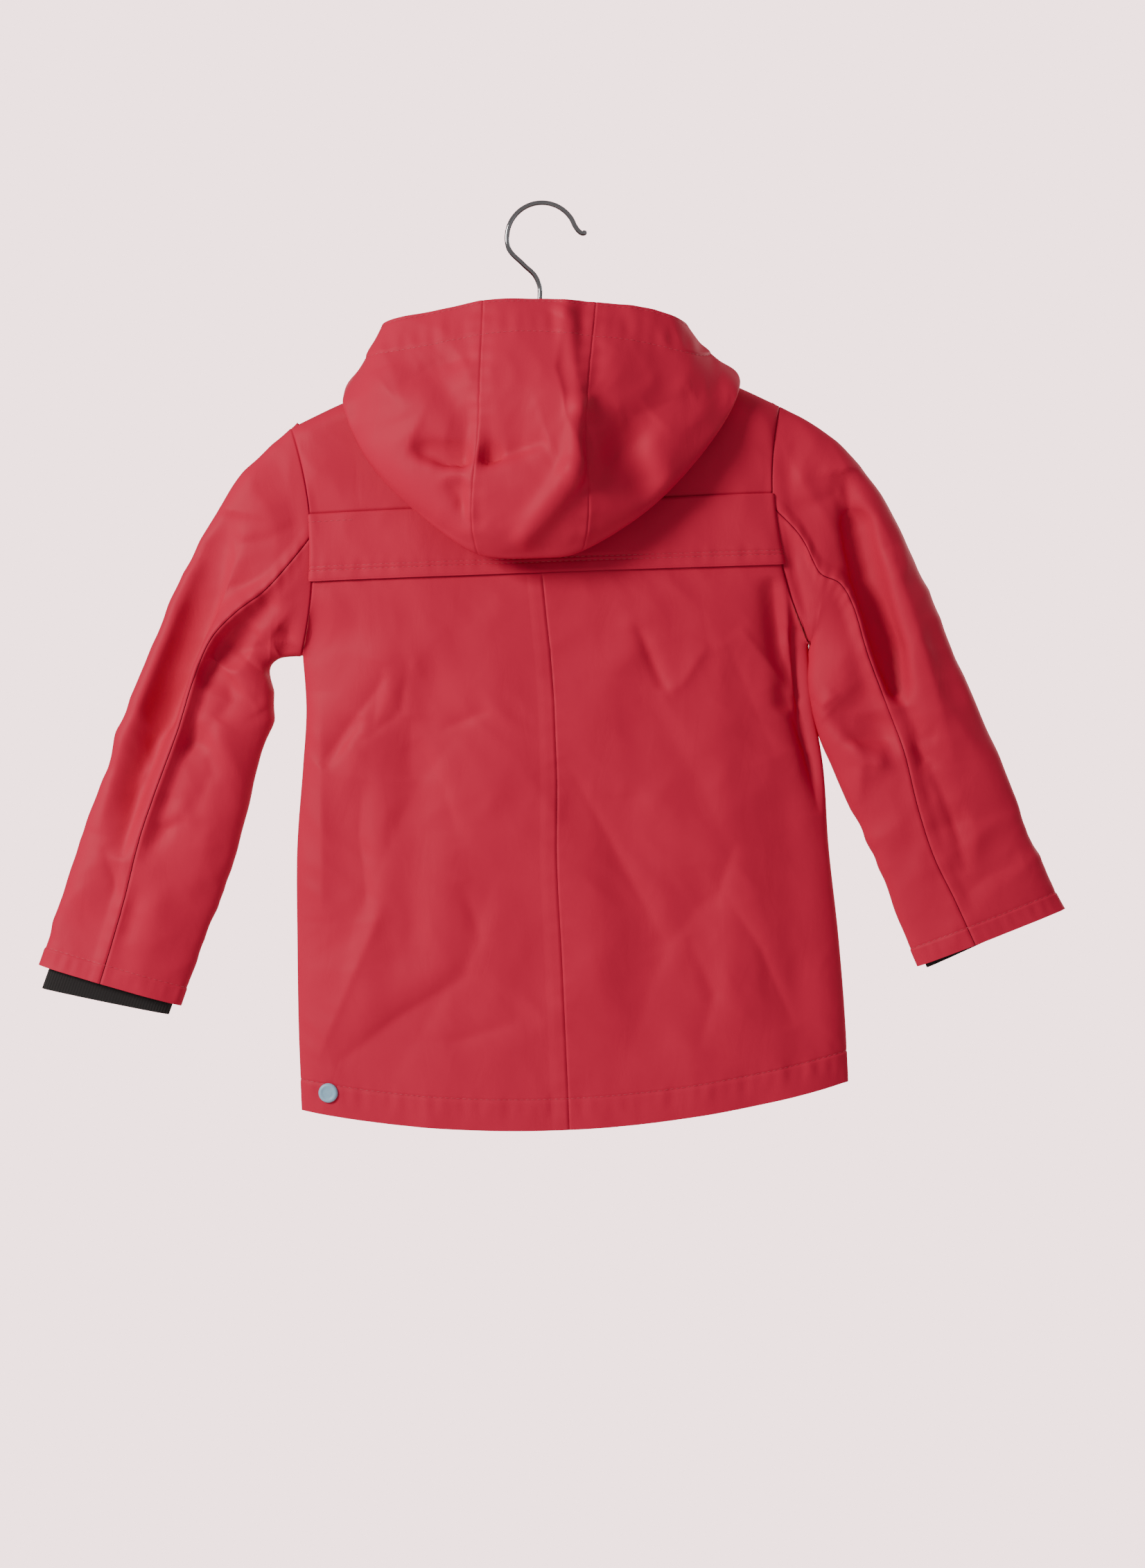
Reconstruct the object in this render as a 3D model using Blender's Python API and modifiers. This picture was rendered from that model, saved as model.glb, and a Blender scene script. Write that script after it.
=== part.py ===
"""Child's hooded rain jacket on a hanger, in metres, +Z up.

The origin is the point where the hook hangs: the top of its inside. The back of the jacket faces -Y,
and the wearer's left is at -X. Each sewn piece is a wall lofted between the sections in the tables.
"""

import math
from collections import namedtuple

import bmesh
import bpy
from mathutils import Vector

CLOTH = 0.0015
SEAM_GAP = 0.0003
EDGE_STEP = 1e-4  # share of a surface's range used to measure its slope
FULLNESS = 0.8  # under 1, a section is fuller than an ellipse

BACK, FRONT = -1, 1
LEFT, RIGHT = 0, 1

# Body: heights of the two sides at the hem, underarm, storm flap seam and shoulder tip
HEM_MEAN = -0.6681
HEM_TILT = 0.0214
HEM_DROP = {BACK: 0.0236, FRONT: 0.0120}
UNDERARM = (-0.3387, -0.3298)
FLAP_SEAM = (-0.2331, -0.2175)
SHOULDER_ROUNDING = 0.018
CENTRE_SEAM = 0.493
FLAP_EDGE_LEVEL = 1.525
FLAP_TRIM = 0.05  # of the turn, where the flap ends short of the armhole
FLAP_LIFT = (0.0004, 0.0016)  # clear of the back at its seam and at its free edge

DepthRow = namedtuple("DepthRow", "height back front")
DEPTHS = (
    DepthRow(-0.6900, 0.024, 0.020),
    DepthRow(-0.4500, 0.027, 0.024),
    DepthRow(-0.3000, 0.026, 0.024),
    DepthRow(-0.2000, 0.023, 0.022),
    DepthRow(-0.1000, 0.020, 0.021),
)

SideRow = namedtuple("SideRow", "height left right")
BODY_SIDES = (
    SideRow(-0.6900, -0.1795, 0.2305),
    SideRow(-0.6200, -0.1825, 0.2280),
    SideRow(-0.5500, -0.1836, 0.2226),
    SideRow(-0.4800, -0.1836, 0.2150),
    SideRow(-0.4200, -0.1792, 0.2108),
    SideRow(-0.3800, -0.1768, 0.2045),
    SideRow(-0.3340, -0.1798, 0.2000),
)

SHOULDER_LINE = (  # across, height
    (-0.1877, -0.1671),
    (-0.1500, -0.1490),
    (-0.1100, -0.1325),
    (-0.0700, -0.1180),
    (-0.0040, -0.0930),
    (0.0620, -0.1065),
    (0.1050, -0.1205),
    (0.1500, -0.1380),
    (0.1778, -0.1510),
)
NECK_X = -0.004
NECK_HALF_WIDTH = 0.066
NECK_DROP = {BACK: 0.012, FRONT: 0.060}

# Sleeves: rings from the armhole to the cuff. The seams are shares of the way from outer to inner edge.
Ring = namedtuple("Ring", "outer_x outer_z inner_x inner_z half_depth bow back_seam")
SLEEVE_RINGS = (
    (
        Ring(-0.1877, -0.1671, -0.1799, -0.3387, 0.0170, 0.0125, 0.480),
        Ring(-0.2132, -0.1895, -0.1862, -0.3392, 0.0195, 0.0090, 0.550),
        Ring(-0.2356, -0.2155, -0.1966, -0.3418, 0.0210, 0.0050, 0.600),
        Ring(-0.2590, -0.2570, -0.2020, -0.3496, 0.0210, 0.0000, 0.540),
        Ring(-0.2787, -0.2986, -0.1995, -0.3673, 0.0205, 0.0000, 0.410),
        Ring(-0.2954, -0.3402, -0.2010, -0.3896, 0.0200, 0.0000, 0.375),
        Ring(-0.3130, -0.3818, -0.2085, -0.4141, 0.0195, 0.0000, 0.400),
        Ring(-0.3297, -0.4286, -0.2210, -0.4583, 0.0190, 0.0000, 0.385),
        Ring(-0.3427, -0.4650, -0.2309, -0.4962, 0.0185, 0.0000, 0.380),
        Ring(-0.3562, -0.5066, -0.2470, -0.5378, 0.0175, 0.0000, 0.415),
        Ring(-0.3656, -0.5378, -0.2579, -0.5690, 0.0170, 0.0000, 0.425),
        Ring(-0.3765, -0.5700, -0.2699, -0.6007, 0.0165, 0.0000, 0.440),
    ),
    (
        Ring(0.1778, -0.1510, 0.2000, -0.3298, 0.0170, -0.0155, 0.430),
        Ring(0.2028, -0.1645, 0.2022, -0.3230, 0.0195, -0.0090, 0.515),
        Ring(0.2293, -0.1842, 0.2049, -0.3168, 0.0210, -0.0050, 0.630),
        Ring(0.2553, -0.2154, 0.2034, -0.3272, 0.0210, 0.0000, 0.600),
        Ring(0.2756, -0.2570, 0.2023, -0.3402, 0.0205, 0.0000, 0.560),
        Ring(0.2938, -0.2986, 0.2024, -0.3688, 0.0200, 0.0000, 0.545),
        Ring(0.3104, -0.3402, 0.2080, -0.3985, 0.0195, 0.0000, 0.530),
        Ring(0.3297, -0.3818, 0.2210, -0.4312, 0.0190, 0.0000, 0.555),
        Ring(0.3479, -0.4234, 0.2382, -0.4687, 0.0185, 0.0000, 0.620),
        Ring(0.3630, -0.4650, 0.2538, -0.5014, 0.0175, 0.0000, 0.650),
        Ring(0.3770, -0.4962, 0.2668, -0.5352, 0.0170, 0.0000, 0.630),
        Ring(0.3915, -0.5280, 0.2812, -0.5712, 0.0165, 0.0000, 0.620),
    ),
)
FRONT_SLEEVE_SEAM = 0.72
SLEEVE_LEVELS = (0, 0.3, 0.65, 1, 1.4, 1.8, 2.3, 2.8, 3.3, 3.8, 4.2, 4.6, 5, 5.4, 5.8, 6.3, 6.8, 7.4, 8)
SLEEVE_LEVELS += (8.6, 9.2, 9.8, 10.4, 11)

# Rib cuffs: how far each runs up inside its sleeve, and how far past the sleeve's end its two edges reach
CuffRow = namedtuple("CuffRow", "inside outer_reach inner_reach squeeze")
CUFFS = (CuffRow(0.045, 0.0165, 0.0090, 0.130), CuffRow(0.045, -0.0030, 0.0035, 0.110))
CUFF_TOP_WIDTH = 0.935  # of the sleeve's width
CUFF_HALF_DEPTH = 0.0105

# Hood: profiles round the neck, from the front centre (0) past the nape (180) to the front centre again.
# Each runs from the neck seam, down to the fold at the bottom of the pouch, out over the bulge, up to the rim.
Profile = namedtuple("Profile", "turn fold_x fold_y fold_z bulge_x bulge_y bulge_z rim_x rim_y rim_z")
HOOD = (
    Profile(0, -0.0040, 0.0320, -0.1650, -0.0040, 0.0350, -0.1610, -0.0040, 0.0360, -0.1560),
    Profile(30, -0.0480, 0.0300, -0.1500, -0.0535, 0.0330, -0.1440, -0.0550, 0.0310, -0.1360),
    Profile(60, -0.0990, 0.0270, -0.1360, -0.1060, 0.0270, -0.1230, -0.0990, 0.0200, -0.1100),
    Profile(90, -0.1440, -0.0050, -0.1435, -0.1350, -0.0120, -0.1220, -0.1170, 0.0000, -0.0960),
    Profile(115, -0.1286, -0.0340, -0.1945, -0.1300, -0.0400, -0.1415, -0.1147, -0.0250, -0.0906),
    Profile(140, -0.0876, -0.0460, -0.2380, -0.0885, -0.0620, -0.1593, -0.0800, -0.0380, -0.0835),
    Profile(160, -0.0465, -0.0530, -0.2660, -0.0460, -0.0720, -0.1654, -0.0431, -0.0440, -0.0772),
    Profile(180, -0.0006, -0.0540, -0.2686, 0.0037, -0.0760, -0.1657, 0.0019, -0.0460, -0.0761),
    Profile(200, 0.0300, -0.0530, -0.2635, 0.0330, -0.0720, -0.1654, 0.0403, -0.0440, -0.0787),
    Profile(220, 0.0787, -0.0460, -0.2329, 0.0732, -0.0620, -0.1593, 0.0763, -0.0380, -0.0815),
    Profile(245, 0.1277, -0.0340, -0.1770, 0.1224, -0.0380, -0.1415, 0.1049, -0.0250, -0.0901),
    Profile(270, 0.1445, -0.0050, -0.1325, 0.1340, -0.0120, -0.1180, 0.1080, 0.0000, -0.0950),
    Profile(300, 0.0910, 0.0270, -0.1270, 0.0980, 0.0270, -0.1160, 0.0910, 0.0200, -0.1050),
    Profile(330, 0.0400, 0.0300, -0.1440, 0.0455, 0.0330, -0.1390, 0.0470, 0.0310, -0.1320),
    Profile(360, -0.0040, 0.0320, -0.1650, -0.0040, 0.0350, -0.1610, -0.0040, 0.0360, -0.1560),
)
HOOD_SEAMS = (160, 200)
HOOD_FOLD = 5  # level where each panel turns up
HOOD_LEVELS = (0, 0.5, 1, 1.5, 2, 2.5, 3, 3.5, 4, 4.5, 5, 5.5, 6, 6.25, 6.5, 6.75, 7, 7.25, 7.5, 7.75, 8)
NECK_LIFT = 0.0014  # of the hood above the edge of the neck
NECK_ROLL = (0.006, 0.0025)  # the hood leaves the neck seam this far out and up
HOOD_CLEARANCE = 0.003  # between the hood and the body under it
FRONT_GAP = 0.5  # degrees from the front centre, on each side
FRONT_FOLD_SHARE = 0.25  # of the fold's width, at the front
POUCH_FOLD = 0.006  # half width of the fold at the bottom of the pouch

# Largest folds: soft ridges (+) and troughs (-) along a line in the XZ plane
Fold = namedtuple("Fold", "x0 z0 x1 z1 width height")
BACK_FOLDS = (
    Fold(0.172, -0.290, 0.182, -0.372, 0.008, -0.0060),
    Fold(0.184, -0.300, 0.189, -0.366, 0.005, 0.0030),
    Fold(-0.170, -0.290, -0.172, -0.335, 0.010, -0.0040),
    Fold(-0.125, -0.340, -0.132, -0.600, 0.018, 0.0030),
    Fold(-0.085, -0.360, -0.100, -0.560, 0.016, -0.0030),
    Fold(0.060, -0.400, 0.085, -0.620, 0.022, -0.0030),
    Fold(0.130, -0.330, 0.150, -0.600, 0.020, 0.0030),
    Fold(0.185, -0.450, 0.195, -0.640, 0.014, -0.0030),
)
FRONT_FOLDS = (
    Fold(-0.130, -0.330, -0.120, -0.620, 0.022, -0.0035),
    Fold(-0.070, -0.280, -0.085, -0.560, 0.020, 0.0025),
    Fold(0.100, -0.300, 0.125, -0.600, 0.022, -0.0030),
    Fold(0.160, -0.330, 0.180, -0.560, 0.018, 0.0025),
)
SLEEVE_FOLDS = (
    Fold(0.238, -0.241, 0.266, -0.361, 0.009, -0.0070),
    Fold(0.262, -0.270, 0.292, -0.380, 0.012, 0.0030),
    Fold(0.240, -0.375, 0.256, -0.392, 0.016, -0.0060),
    Fold(0.222, -0.402, 0.250, -0.420, 0.008, 0.0040),
    Fold(-0.250, -0.257, -0.289, -0.376, 0.012, -0.0050),
    Fold(-0.225, -0.250, -0.262, -0.350, 0.012, 0.0030),
    Fold(-0.205, -0.300, -0.232, -0.338, 0.008, -0.0050),
    Fold(-0.215, -0.372, -0.250, -0.352, 0.008, -0.0045),
)
HOOD_FOLDS = (
    Fold(0.018, -0.078, 0.030, -0.160, 0.008, 0.0050),
    Fold(0.030, -0.160, 0.024, -0.205, 0.008, 0.0060),
    Fold(0.024, -0.205, -0.012, -0.252, 0.008, 0.0050),
    Fold(0.060, -0.180, 0.074, -0.225, 0.017, -0.0080),
    Fold(-0.075, -0.135, -0.050, -0.175, 0.014, -0.0050),
    Fold(-0.085, -0.190, -0.040, -0.192, 0.007, -0.0035),
)

# Hanger
WIRE_RADIUS = 0.0015
HOOK_RADIUS = 0.0263  # to the middle of the wire
HOOK_ARC = (195.6, 19.4)  # degrees, from the stem's side over the top to the tip's side
HOOK_STEM = ((-0.0016, -0.0700), (-0.0018, -0.0610), (-0.0050, -0.0535), (-0.0140, -0.0445))
HOOK_TIP = ((0.0276, -0.0195), (0.0304, -0.0213), (0.0334, -0.0196))
TIP_SWELL = 1.45
BAR_ENDS = (-0.168, 0.158)
BAR_THICKNESS = 0.010
BAR_HEIGHT = 0.026
BAR_ROUNDING = 0.003
BAR_CLEARANCE = 0.0015

# Snaps
SNAP_RADIUS = 0.0073
SNAP_HEIGHT = 0.0028
SNAP_ROUNDING = 0.0009
HEM_SNAP = (0.148, 0.047)  # across share angle and level on the back's left half
PLACKET_SNAPS = (0.10, 0.62, 1.20, 1.90, 2.62)
PLACKET_EDGES = (0.459, 0.541)
PLACKET_TOP = 2.8  # level
PLACKET_LIFT = 0.0004

NECK_COLUMNS = (0.384, 0.619)


def lerp(a, b, share):
    return a + (b - a) * share


def spline(knots, rows, at):
    """A smooth curve through rows (tuples of equal length) placed at increasing knots."""
    last = len(knots) - 1
    i = 0
    while i < last - 1 and at > knots[i + 1]:
        i += 1
    span = knots[i + 1] - knots[i]
    t = (at - knots[i]) / span

    def slope(k, c):
        before, after = max(k - 1, 0), min(k + 1, last)
        if before == k or after == k:
            return (rows[after][c] - rows[before][c]) / (knots[after] - knots[before])
        ahead = knots[after] - knots[k]
        behind = knots[k] - knots[before]
        rise_ahead = (rows[after][c] - rows[k][c]) / ahead
        rise_behind = (rows[k][c] - rows[before][c]) / behind
        return (rise_behind * ahead + rise_ahead * behind) / (ahead + behind)

    out = []
    for c in range(len(rows[0])):
        p0, p1 = rows[i][c], rows[i + 1][c]
        m0, m1 = slope(i, c) * span, slope(i + 1, c) * span
        a = 2 * t**3 - 3 * t**2 + 1
        b = t**3 - 2 * t**2 + t
        d = t**3 - t**2
        out.append(a * p0 + b * m0 + (1 - a) * p1 + d * m1)
    return out


def relief(folds, x, z):
    """Height of the folds at a point of the XZ plane."""
    total = 0.0
    for fold in folds:
        along = Vector((fold.x1 - fold.x0, fold.z1 - fold.z0))
        away = Vector((x - fold.x0, z - fold.z0))
        share = min(max(away.dot(along) / along.length_squared, 0), 1)
        distance = (away - along * share).length
        total += fold.height * math.exp(-((distance / fold.width) ** 2))
    return total


def shoulder_line(x):
    return spline([row[0] for row in SHOULDER_LINE], [(row[1],) for row in SHOULDER_LINE], x)[0]


def top_line(face, x):
    """Height of the body's upper edge: the shoulder seam, dipping to the nape or the front of the neck."""
    reach = (x - NECK_X) / NECK_HALF_WIDTH
    if abs(reach) >= 1:
        return shoulder_line(x)
    ends = [shoulder_line(NECK_X + side * NECK_HALF_WIDTH) for side in (-1, 1)]
    return lerp(ends[0], ends[1], (reach + 1) / 2) - NECK_DROP[face] * (1 - reach**2)


def rounding(x, z):
    """Share of the full depth that the body has just under the shoulder line."""
    drop = shoulder_line(min(max(x, SHOULDER_LINE[0][0]), SHOULDER_LINE[-1][0])) - z
    return math.sqrt(1 - (1 - min(max(drop / SHOULDER_ROUNDING, 0), 1)) ** 2)


def full_depth(face, z):
    rows = [(row.back, row.front) for row in DEPTHS]
    height = min(max(z, DEPTHS[0].height), DEPTHS[-1].height)
    return spline([row.height for row in DEPTHS], rows, height)[0 if face == BACK else 1]


def armhole(side, z):
    """(x, depth) of the armhole at a height, on the sleeve's first ring."""
    ring = SLEEVE_RINGS[side][0]
    down = (ring.outer_z - z) / (ring.outer_z - ring.inner_z)
    spread = max(4 * down * (1 - down), 0)
    x = lerp(ring.outer_x, ring.inner_x, down) + ring.bow * spread
    return x, ring.half_depth * math.sqrt(spread) ** FULLNESS


def side_edge(side, level):
    """(x, depth, z) of the body's side at a level: 0 hem, 1 underarm, 2 storm flap seam, 3 shoulder."""
    ring = SLEEVE_RINGS[side][0]
    hem = HEM_MEAN + HEM_TILT * (side - 0.5)
    stops = (hem, UNDERARM[side], FLAP_SEAM[side], ring.outer_z)
    block = min(int(level), 2)
    z = lerp(stops[block], stops[block + 1], level - block)
    if level <= 1:
        heights = [row.height for row in BODY_SIDES]
        return spline(heights, [(row[side + 1],) for row in BODY_SIDES], z)[0], 0.0, z
    x, depth = armhole(side, z)
    return x, depth, z


def body_height(face, across, level):
    hem = HEM_MEAN + HEM_TILT * (across - 0.5) - HEM_DROP[face] * 4 * across * (1 - across)
    tips = [SLEEVE_RINGS[side][0].outer_x for side in (LEFT, RIGHT)]
    top = top_line(face, lerp(tips[0], tips[1], across))
    stops = (hem, lerp(*UNDERARM, across), lerp(*FLAP_SEAM, across), top)
    block = min(int(level), 2)
    return lerp(stops[block], stops[block + 1], level - block)


def body(face, turn, level):
    """A point of the body's outside. turn runs from 0 at the left side to 1 at the right side."""
    across = (1 - math.cos(math.pi * turn)) / 2
    left, right = side_edge(LEFT, level), side_edge(RIGHT, level)
    x = lerp(left[0], right[0], across)
    z = body_height(face, across, level)
    swell = max(math.sin(math.pi * turn), 0) ** FULLNESS
    depth = lerp(lerp(left[1], right[1], across), full_depth(face, z) * rounding(x, z), swell)
    folds = BACK_FOLDS if face == BACK else FRONT_FOLDS
    depth += relief(folds, x, z) * swell * rounding(x, z)
    return Vector((x, face * depth, z))


def outward(surface, a, b, a_range, b_range, sign):
    """Unit normal of surface(a, b), measured inside its ranges."""
    slopes = []
    for axis, at, (low, high) in ((0, a, a_range), (1, b, b_range)):
        step = EDGE_STEP * (high - low)
        ends = [max(at - step, low), min(at + step, high)]
        points = [surface(end, b) if axis == 0 else surface(a, end) for end in ends]
        slopes.append(points[1] - points[0])
    return slopes[0].cross(slopes[1]).normalized() * sign


def body_skin(face, lift=0.0, lift_at_edge=None):
    """(outside, inside) of a body piece at (level, turn), moved out by lift when it lies on a panel."""
    sign = -1 if face == BACK else 1

    def skin(level, turn):
        point = body(face, turn, level)
        normal = outward(lambda a, b: body(face, a, b), turn, level, (0, 1), (0, 3), -sign)
        if lift_at_edge is None:
            rise = lift
        else:
            rise = lerp(lift, lift_at_edge, (2 - level) / (2 - FLAP_EDGE_LEVEL))
        if lift or lift_at_edge:
            return point + normal * (rise + CLOTH), point + normal * rise
        return point, point - normal * CLOTH

    return skin


def sleeve(side, level, angle):
    """A point of a sleeve's outside. angle is 0 at the outer edge, +90 on the back, 180 at the inner edge."""
    rings = SLEEVE_RINGS[side]
    ring = Ring(*spline(range(len(rings)), rings, level))
    across = (1 - math.cos(angle)) / 2
    x = lerp(ring.outer_x, ring.inner_x, across) + ring.bow * 4 * across * (1 - across)
    x += SEAM_GAP if side == RIGHT else -SEAM_GAP
    z = lerp(ring.outer_z, ring.inner_z, across)
    swell = math.sin(angle)
    depth = math.copysign(abs(swell) ** FULLNESS, swell) * ring.half_depth
    if swell > 0:
        depth += relief(SLEEVE_FOLDS, x, z) * swell * min(level, 1)
    return Vector((x, -depth, z))


def sleeve_skin(side):
    """(outside, inside) of a sleeve at (level, angle). The wall is measured in the ring's own plane."""
    rings = SLEEVE_RINGS[side]

    def skin(level, angle):
        ring = Ring(*spline(range(len(rings)), rings, level))
        chord = Vector((ring.inner_x - ring.outer_x, 0, ring.inner_z - ring.outer_z)).normalized()
        tangent = sleeve(side, level, angle + EDGE_STEP) - sleeve(side, level, angle - EDGE_STEP)
        slide, rise = tangent.dot(chord), tangent.y
        inward = (chord * -rise + Vector((0, slide, 0))).normalized()
        point = sleeve(side, level, angle)
        return point, point + inward * CLOTH

    return skin


def cuff_skin(side):
    """(outside, inside) of a rib cuff. level runs from 0 inside the sleeve to 1 at the cuff's free end."""
    ring = SLEEVE_RINGS[side][-1]
    above = SLEEVE_RINGS[side][-2]
    row = CUFFS[side]
    outer = Vector((ring.outer_x, 0, ring.outer_z))
    inner = Vector((ring.inner_x, 0, ring.inner_z))
    upper = Vector((above.outer_x + above.inner_x, 0, above.outer_z + above.inner_z)) / 2
    down = ((outer + inner) / 2 - upper).normalized()
    chord = (inner - outer).normalized()

    def skin(level, angle):
        across = (1 - math.cos(angle)) / 2
        reach = lerp(-row.inside, lerp(row.outer_reach, row.inner_reach, across), level)
        narrow = lerp(CUFF_TOP_WIDTH, 1 - row.squeeze, min(level * 1.6, 1))
        half_depth = lerp(ring.half_depth - CLOTH - 2 * SEAM_GAP, CUFF_HALF_DEPTH, min(level * 1.6, 1))
        points = []
        for inset in (0, CLOTH):
            half = (inner - outer).length / 2 * narrow - inset
            along = -math.cos(angle) * half
            swell = math.sin(angle)
            depth = math.copysign(abs(swell) ** FULLNESS, swell) * (half_depth - inset)
            centre = (outer + inner) / 2 + down * reach
            points.append(centre + chord * along + Vector((0, -depth, 0)))
        return points

    return skin


def neck_point(turn):
    """(point, outward direction) of the neck seam at a turn in degrees."""
    angle = math.radians(turn)
    face = FRONT if math.cos(angle) > 0 else BACK
    x = NECK_X - NECK_HALF_WIDTH * math.sin(angle)
    tips = [SLEEVE_RINGS[side][0].outer_x for side in (LEFT, RIGHT)]
    across = (x - tips[0]) / (tips[1] - tips[0])
    point = body(face, math.acos(1 - 2 * across) / math.pi, 3)
    return point + Vector((0, 0, NECK_LIFT)), Vector((-math.sin(angle), math.cos(angle), 0))


def clear_of_body(point, layer=0.0):
    """The point moved out, where it would lie closer to the body than the hood may."""
    face = FRONT if point.y > 0 else BACK
    below = point.z - HOOD_CLEARANCE
    if shoulder_line(point.x) <= below:
        return point
    tips = [SLEEVE_RINGS[side][0].outer_x for side in (LEFT, RIGHT)]
    across = (point.x - tips[0]) / (tips[1] - tips[0])
    swell = math.sqrt(4 * across * (1 - across)) ** FULLNESS
    edge = SLEEVE_RINGS[LEFT][0].half_depth * rounding(point.x, below)
    depth = lerp(edge, full_depth(face, point.z) * rounding(point.x, below), swell) + HOOD_CLEARANCE + layer
    return Vector((point.x, face * max(abs(point.y), depth), point.z))


def hood_profile(turn):
    """The points that a hood profile runs through at a turn."""
    fold_x, fold_y, fold_z, bulge_x, bulge_y, bulge_z, rim_x, rim_y, rim_z = spline(
        [row.turn for row in HOOD], [row[1:] for row in HOOD], turn
    )
    neck, out = neck_point(turn)
    fold = Vector((fold_x, fold_y, fold_z))
    roll = neck + out * NECK_ROLL[0] + Vector((0, 0, NECK_ROLL[1]))
    tuck = POUCH_FOLD * lerp(FRONT_FOLD_SHARE, 1, (1 - math.cos(math.radians(turn))) / 2)
    fold_in = clear_of_body(fold + (Vector((0, 0, 1)) - out) * tuck)
    fold_out = clear_of_body(fold + (Vector((0, 0, 1)) + out) * tuck, 2 * tuck)
    fold = clear_of_body(fold, tuck)
    upper, lower = (clear_of_body(roll.lerp(fold_in, share)) for share in (0.33, 0.67))
    bulge = clear_of_body(Vector((bulge_x, bulge_y, bulge_z)), 2 * tuck)
    return neck, roll, upper, lower, fold_in, fold, fold_out, bulge, Vector((rim_x, rim_y, rim_z))


def hood(level, turn):
    """A point of the hood's outside. level runs from 0 at the neck seam through 5 at the fold to 8 at the rim."""
    points = hood_profile(turn)
    knots = [0.0]
    for before, after in zip(points, points[1:]):
        knots.append(knots[-1] + (after - before).length)
    step = min(int(level), len(points) - 2)
    point = Vector(spline(knots, points, lerp(knots[step], knots[step + 1], level - step)))
    face_out = min(max(level - HOOD_FOLD, 0), 1)
    point.y -= relief(HOOD_FOLDS, point.x, point.z) * face_out
    return point


def hood_skin(level, turn):
    normal = outward(hood, level, turn, (0, 8), (0, 360), -1)
    point = hood(level, turn)
    return point, point - normal * CLOTH


def steps(*stops):
    """Numbers from stop to stop: stop, count, stop, count, stop."""
    out = [stops[0]]
    for count, stop in zip(stops[1::2], stops[2::2]):
        start = out[-1]
        out += [lerp(start, stop, (i + 1) / count) for i in range(count)]
    return out


def material(name, color, roughness, metallic=0.0):
    made = bpy.data.materials.new(name)
    made.use_nodes = True
    shader = made.node_tree.nodes["Principled BSDF"]
    shader.inputs["Base Color"].default_value = (*color, 1)
    shader.inputs["Roughness"].default_value = roughness
    shader.inputs["Metallic"].default_value = metallic
    return made


def add_object(name, mesh, finish):
    mesh.materials.append(finish)
    mesh.shade_smooth()
    mesh.set_sharp_from_angle(angle=math.radians(50))
    made = bpy.data.objects.new(name, mesh)
    parts.objects.link(made)
    return made


def wall(name, finish, skin, rows, columns, ring=False):
    """A closed wall over a grid of skin(row, column) = (outside, inside). A ring's columns run round a tube."""
    build = bmesh.new()
    layers = ([], [])
    for row in rows:
        pairs = [skin(row, column) for column in columns]
        for layer, points in zip(layers, zip(*pairs)):
            layer.append([build.verts.new(point) for point in points])
    down, across = len(rows), len(columns)
    wrap = across if ring else across - 1
    for layer, flip in zip(layers, (False, True)):
        for i in range(down - 1):
            for j in range(wrap):
                k = (j + 1) % across
                corners = [layer[i][j], layer[i][k], layer[i + 1][k], layer[i + 1][j]]
                build.faces.new(corners[::-1] if flip else corners)
    outside, inside = layers
    for i in (0, down - 1):
        for j in range(wrap):
            k = (j + 1) % across
            corners = [outside[i][j], inside[i][j], inside[i][k], outside[i][k]]
            build.faces.new(corners if i == 0 else corners[::-1])
    if not ring:
        for j in (0, across - 1):
            for i in range(down - 1):
                corners = [outside[i][j], outside[i + 1][j], inside[i + 1][j], inside[i][j]]
                build.faces.new(corners if j == 0 else corners[::-1])
    bmesh.ops.recalc_face_normals(build, faces=build.faces)
    if build.calc_volume(signed=True) < 0:
        bmesh.ops.reverse_faces(build, faces=build.faces)
    mesh = bpy.data.meshes.new(name)
    build.to_mesh(mesh)
    build.free()
    return add_object(name, mesh, finish)


def trimmed(stops, low, high):
    """The same numbers with the first moved up by low and the last moved down by high."""
    return [stops[0] + low, *stops[1:-1], stops[-1] - high]


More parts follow.
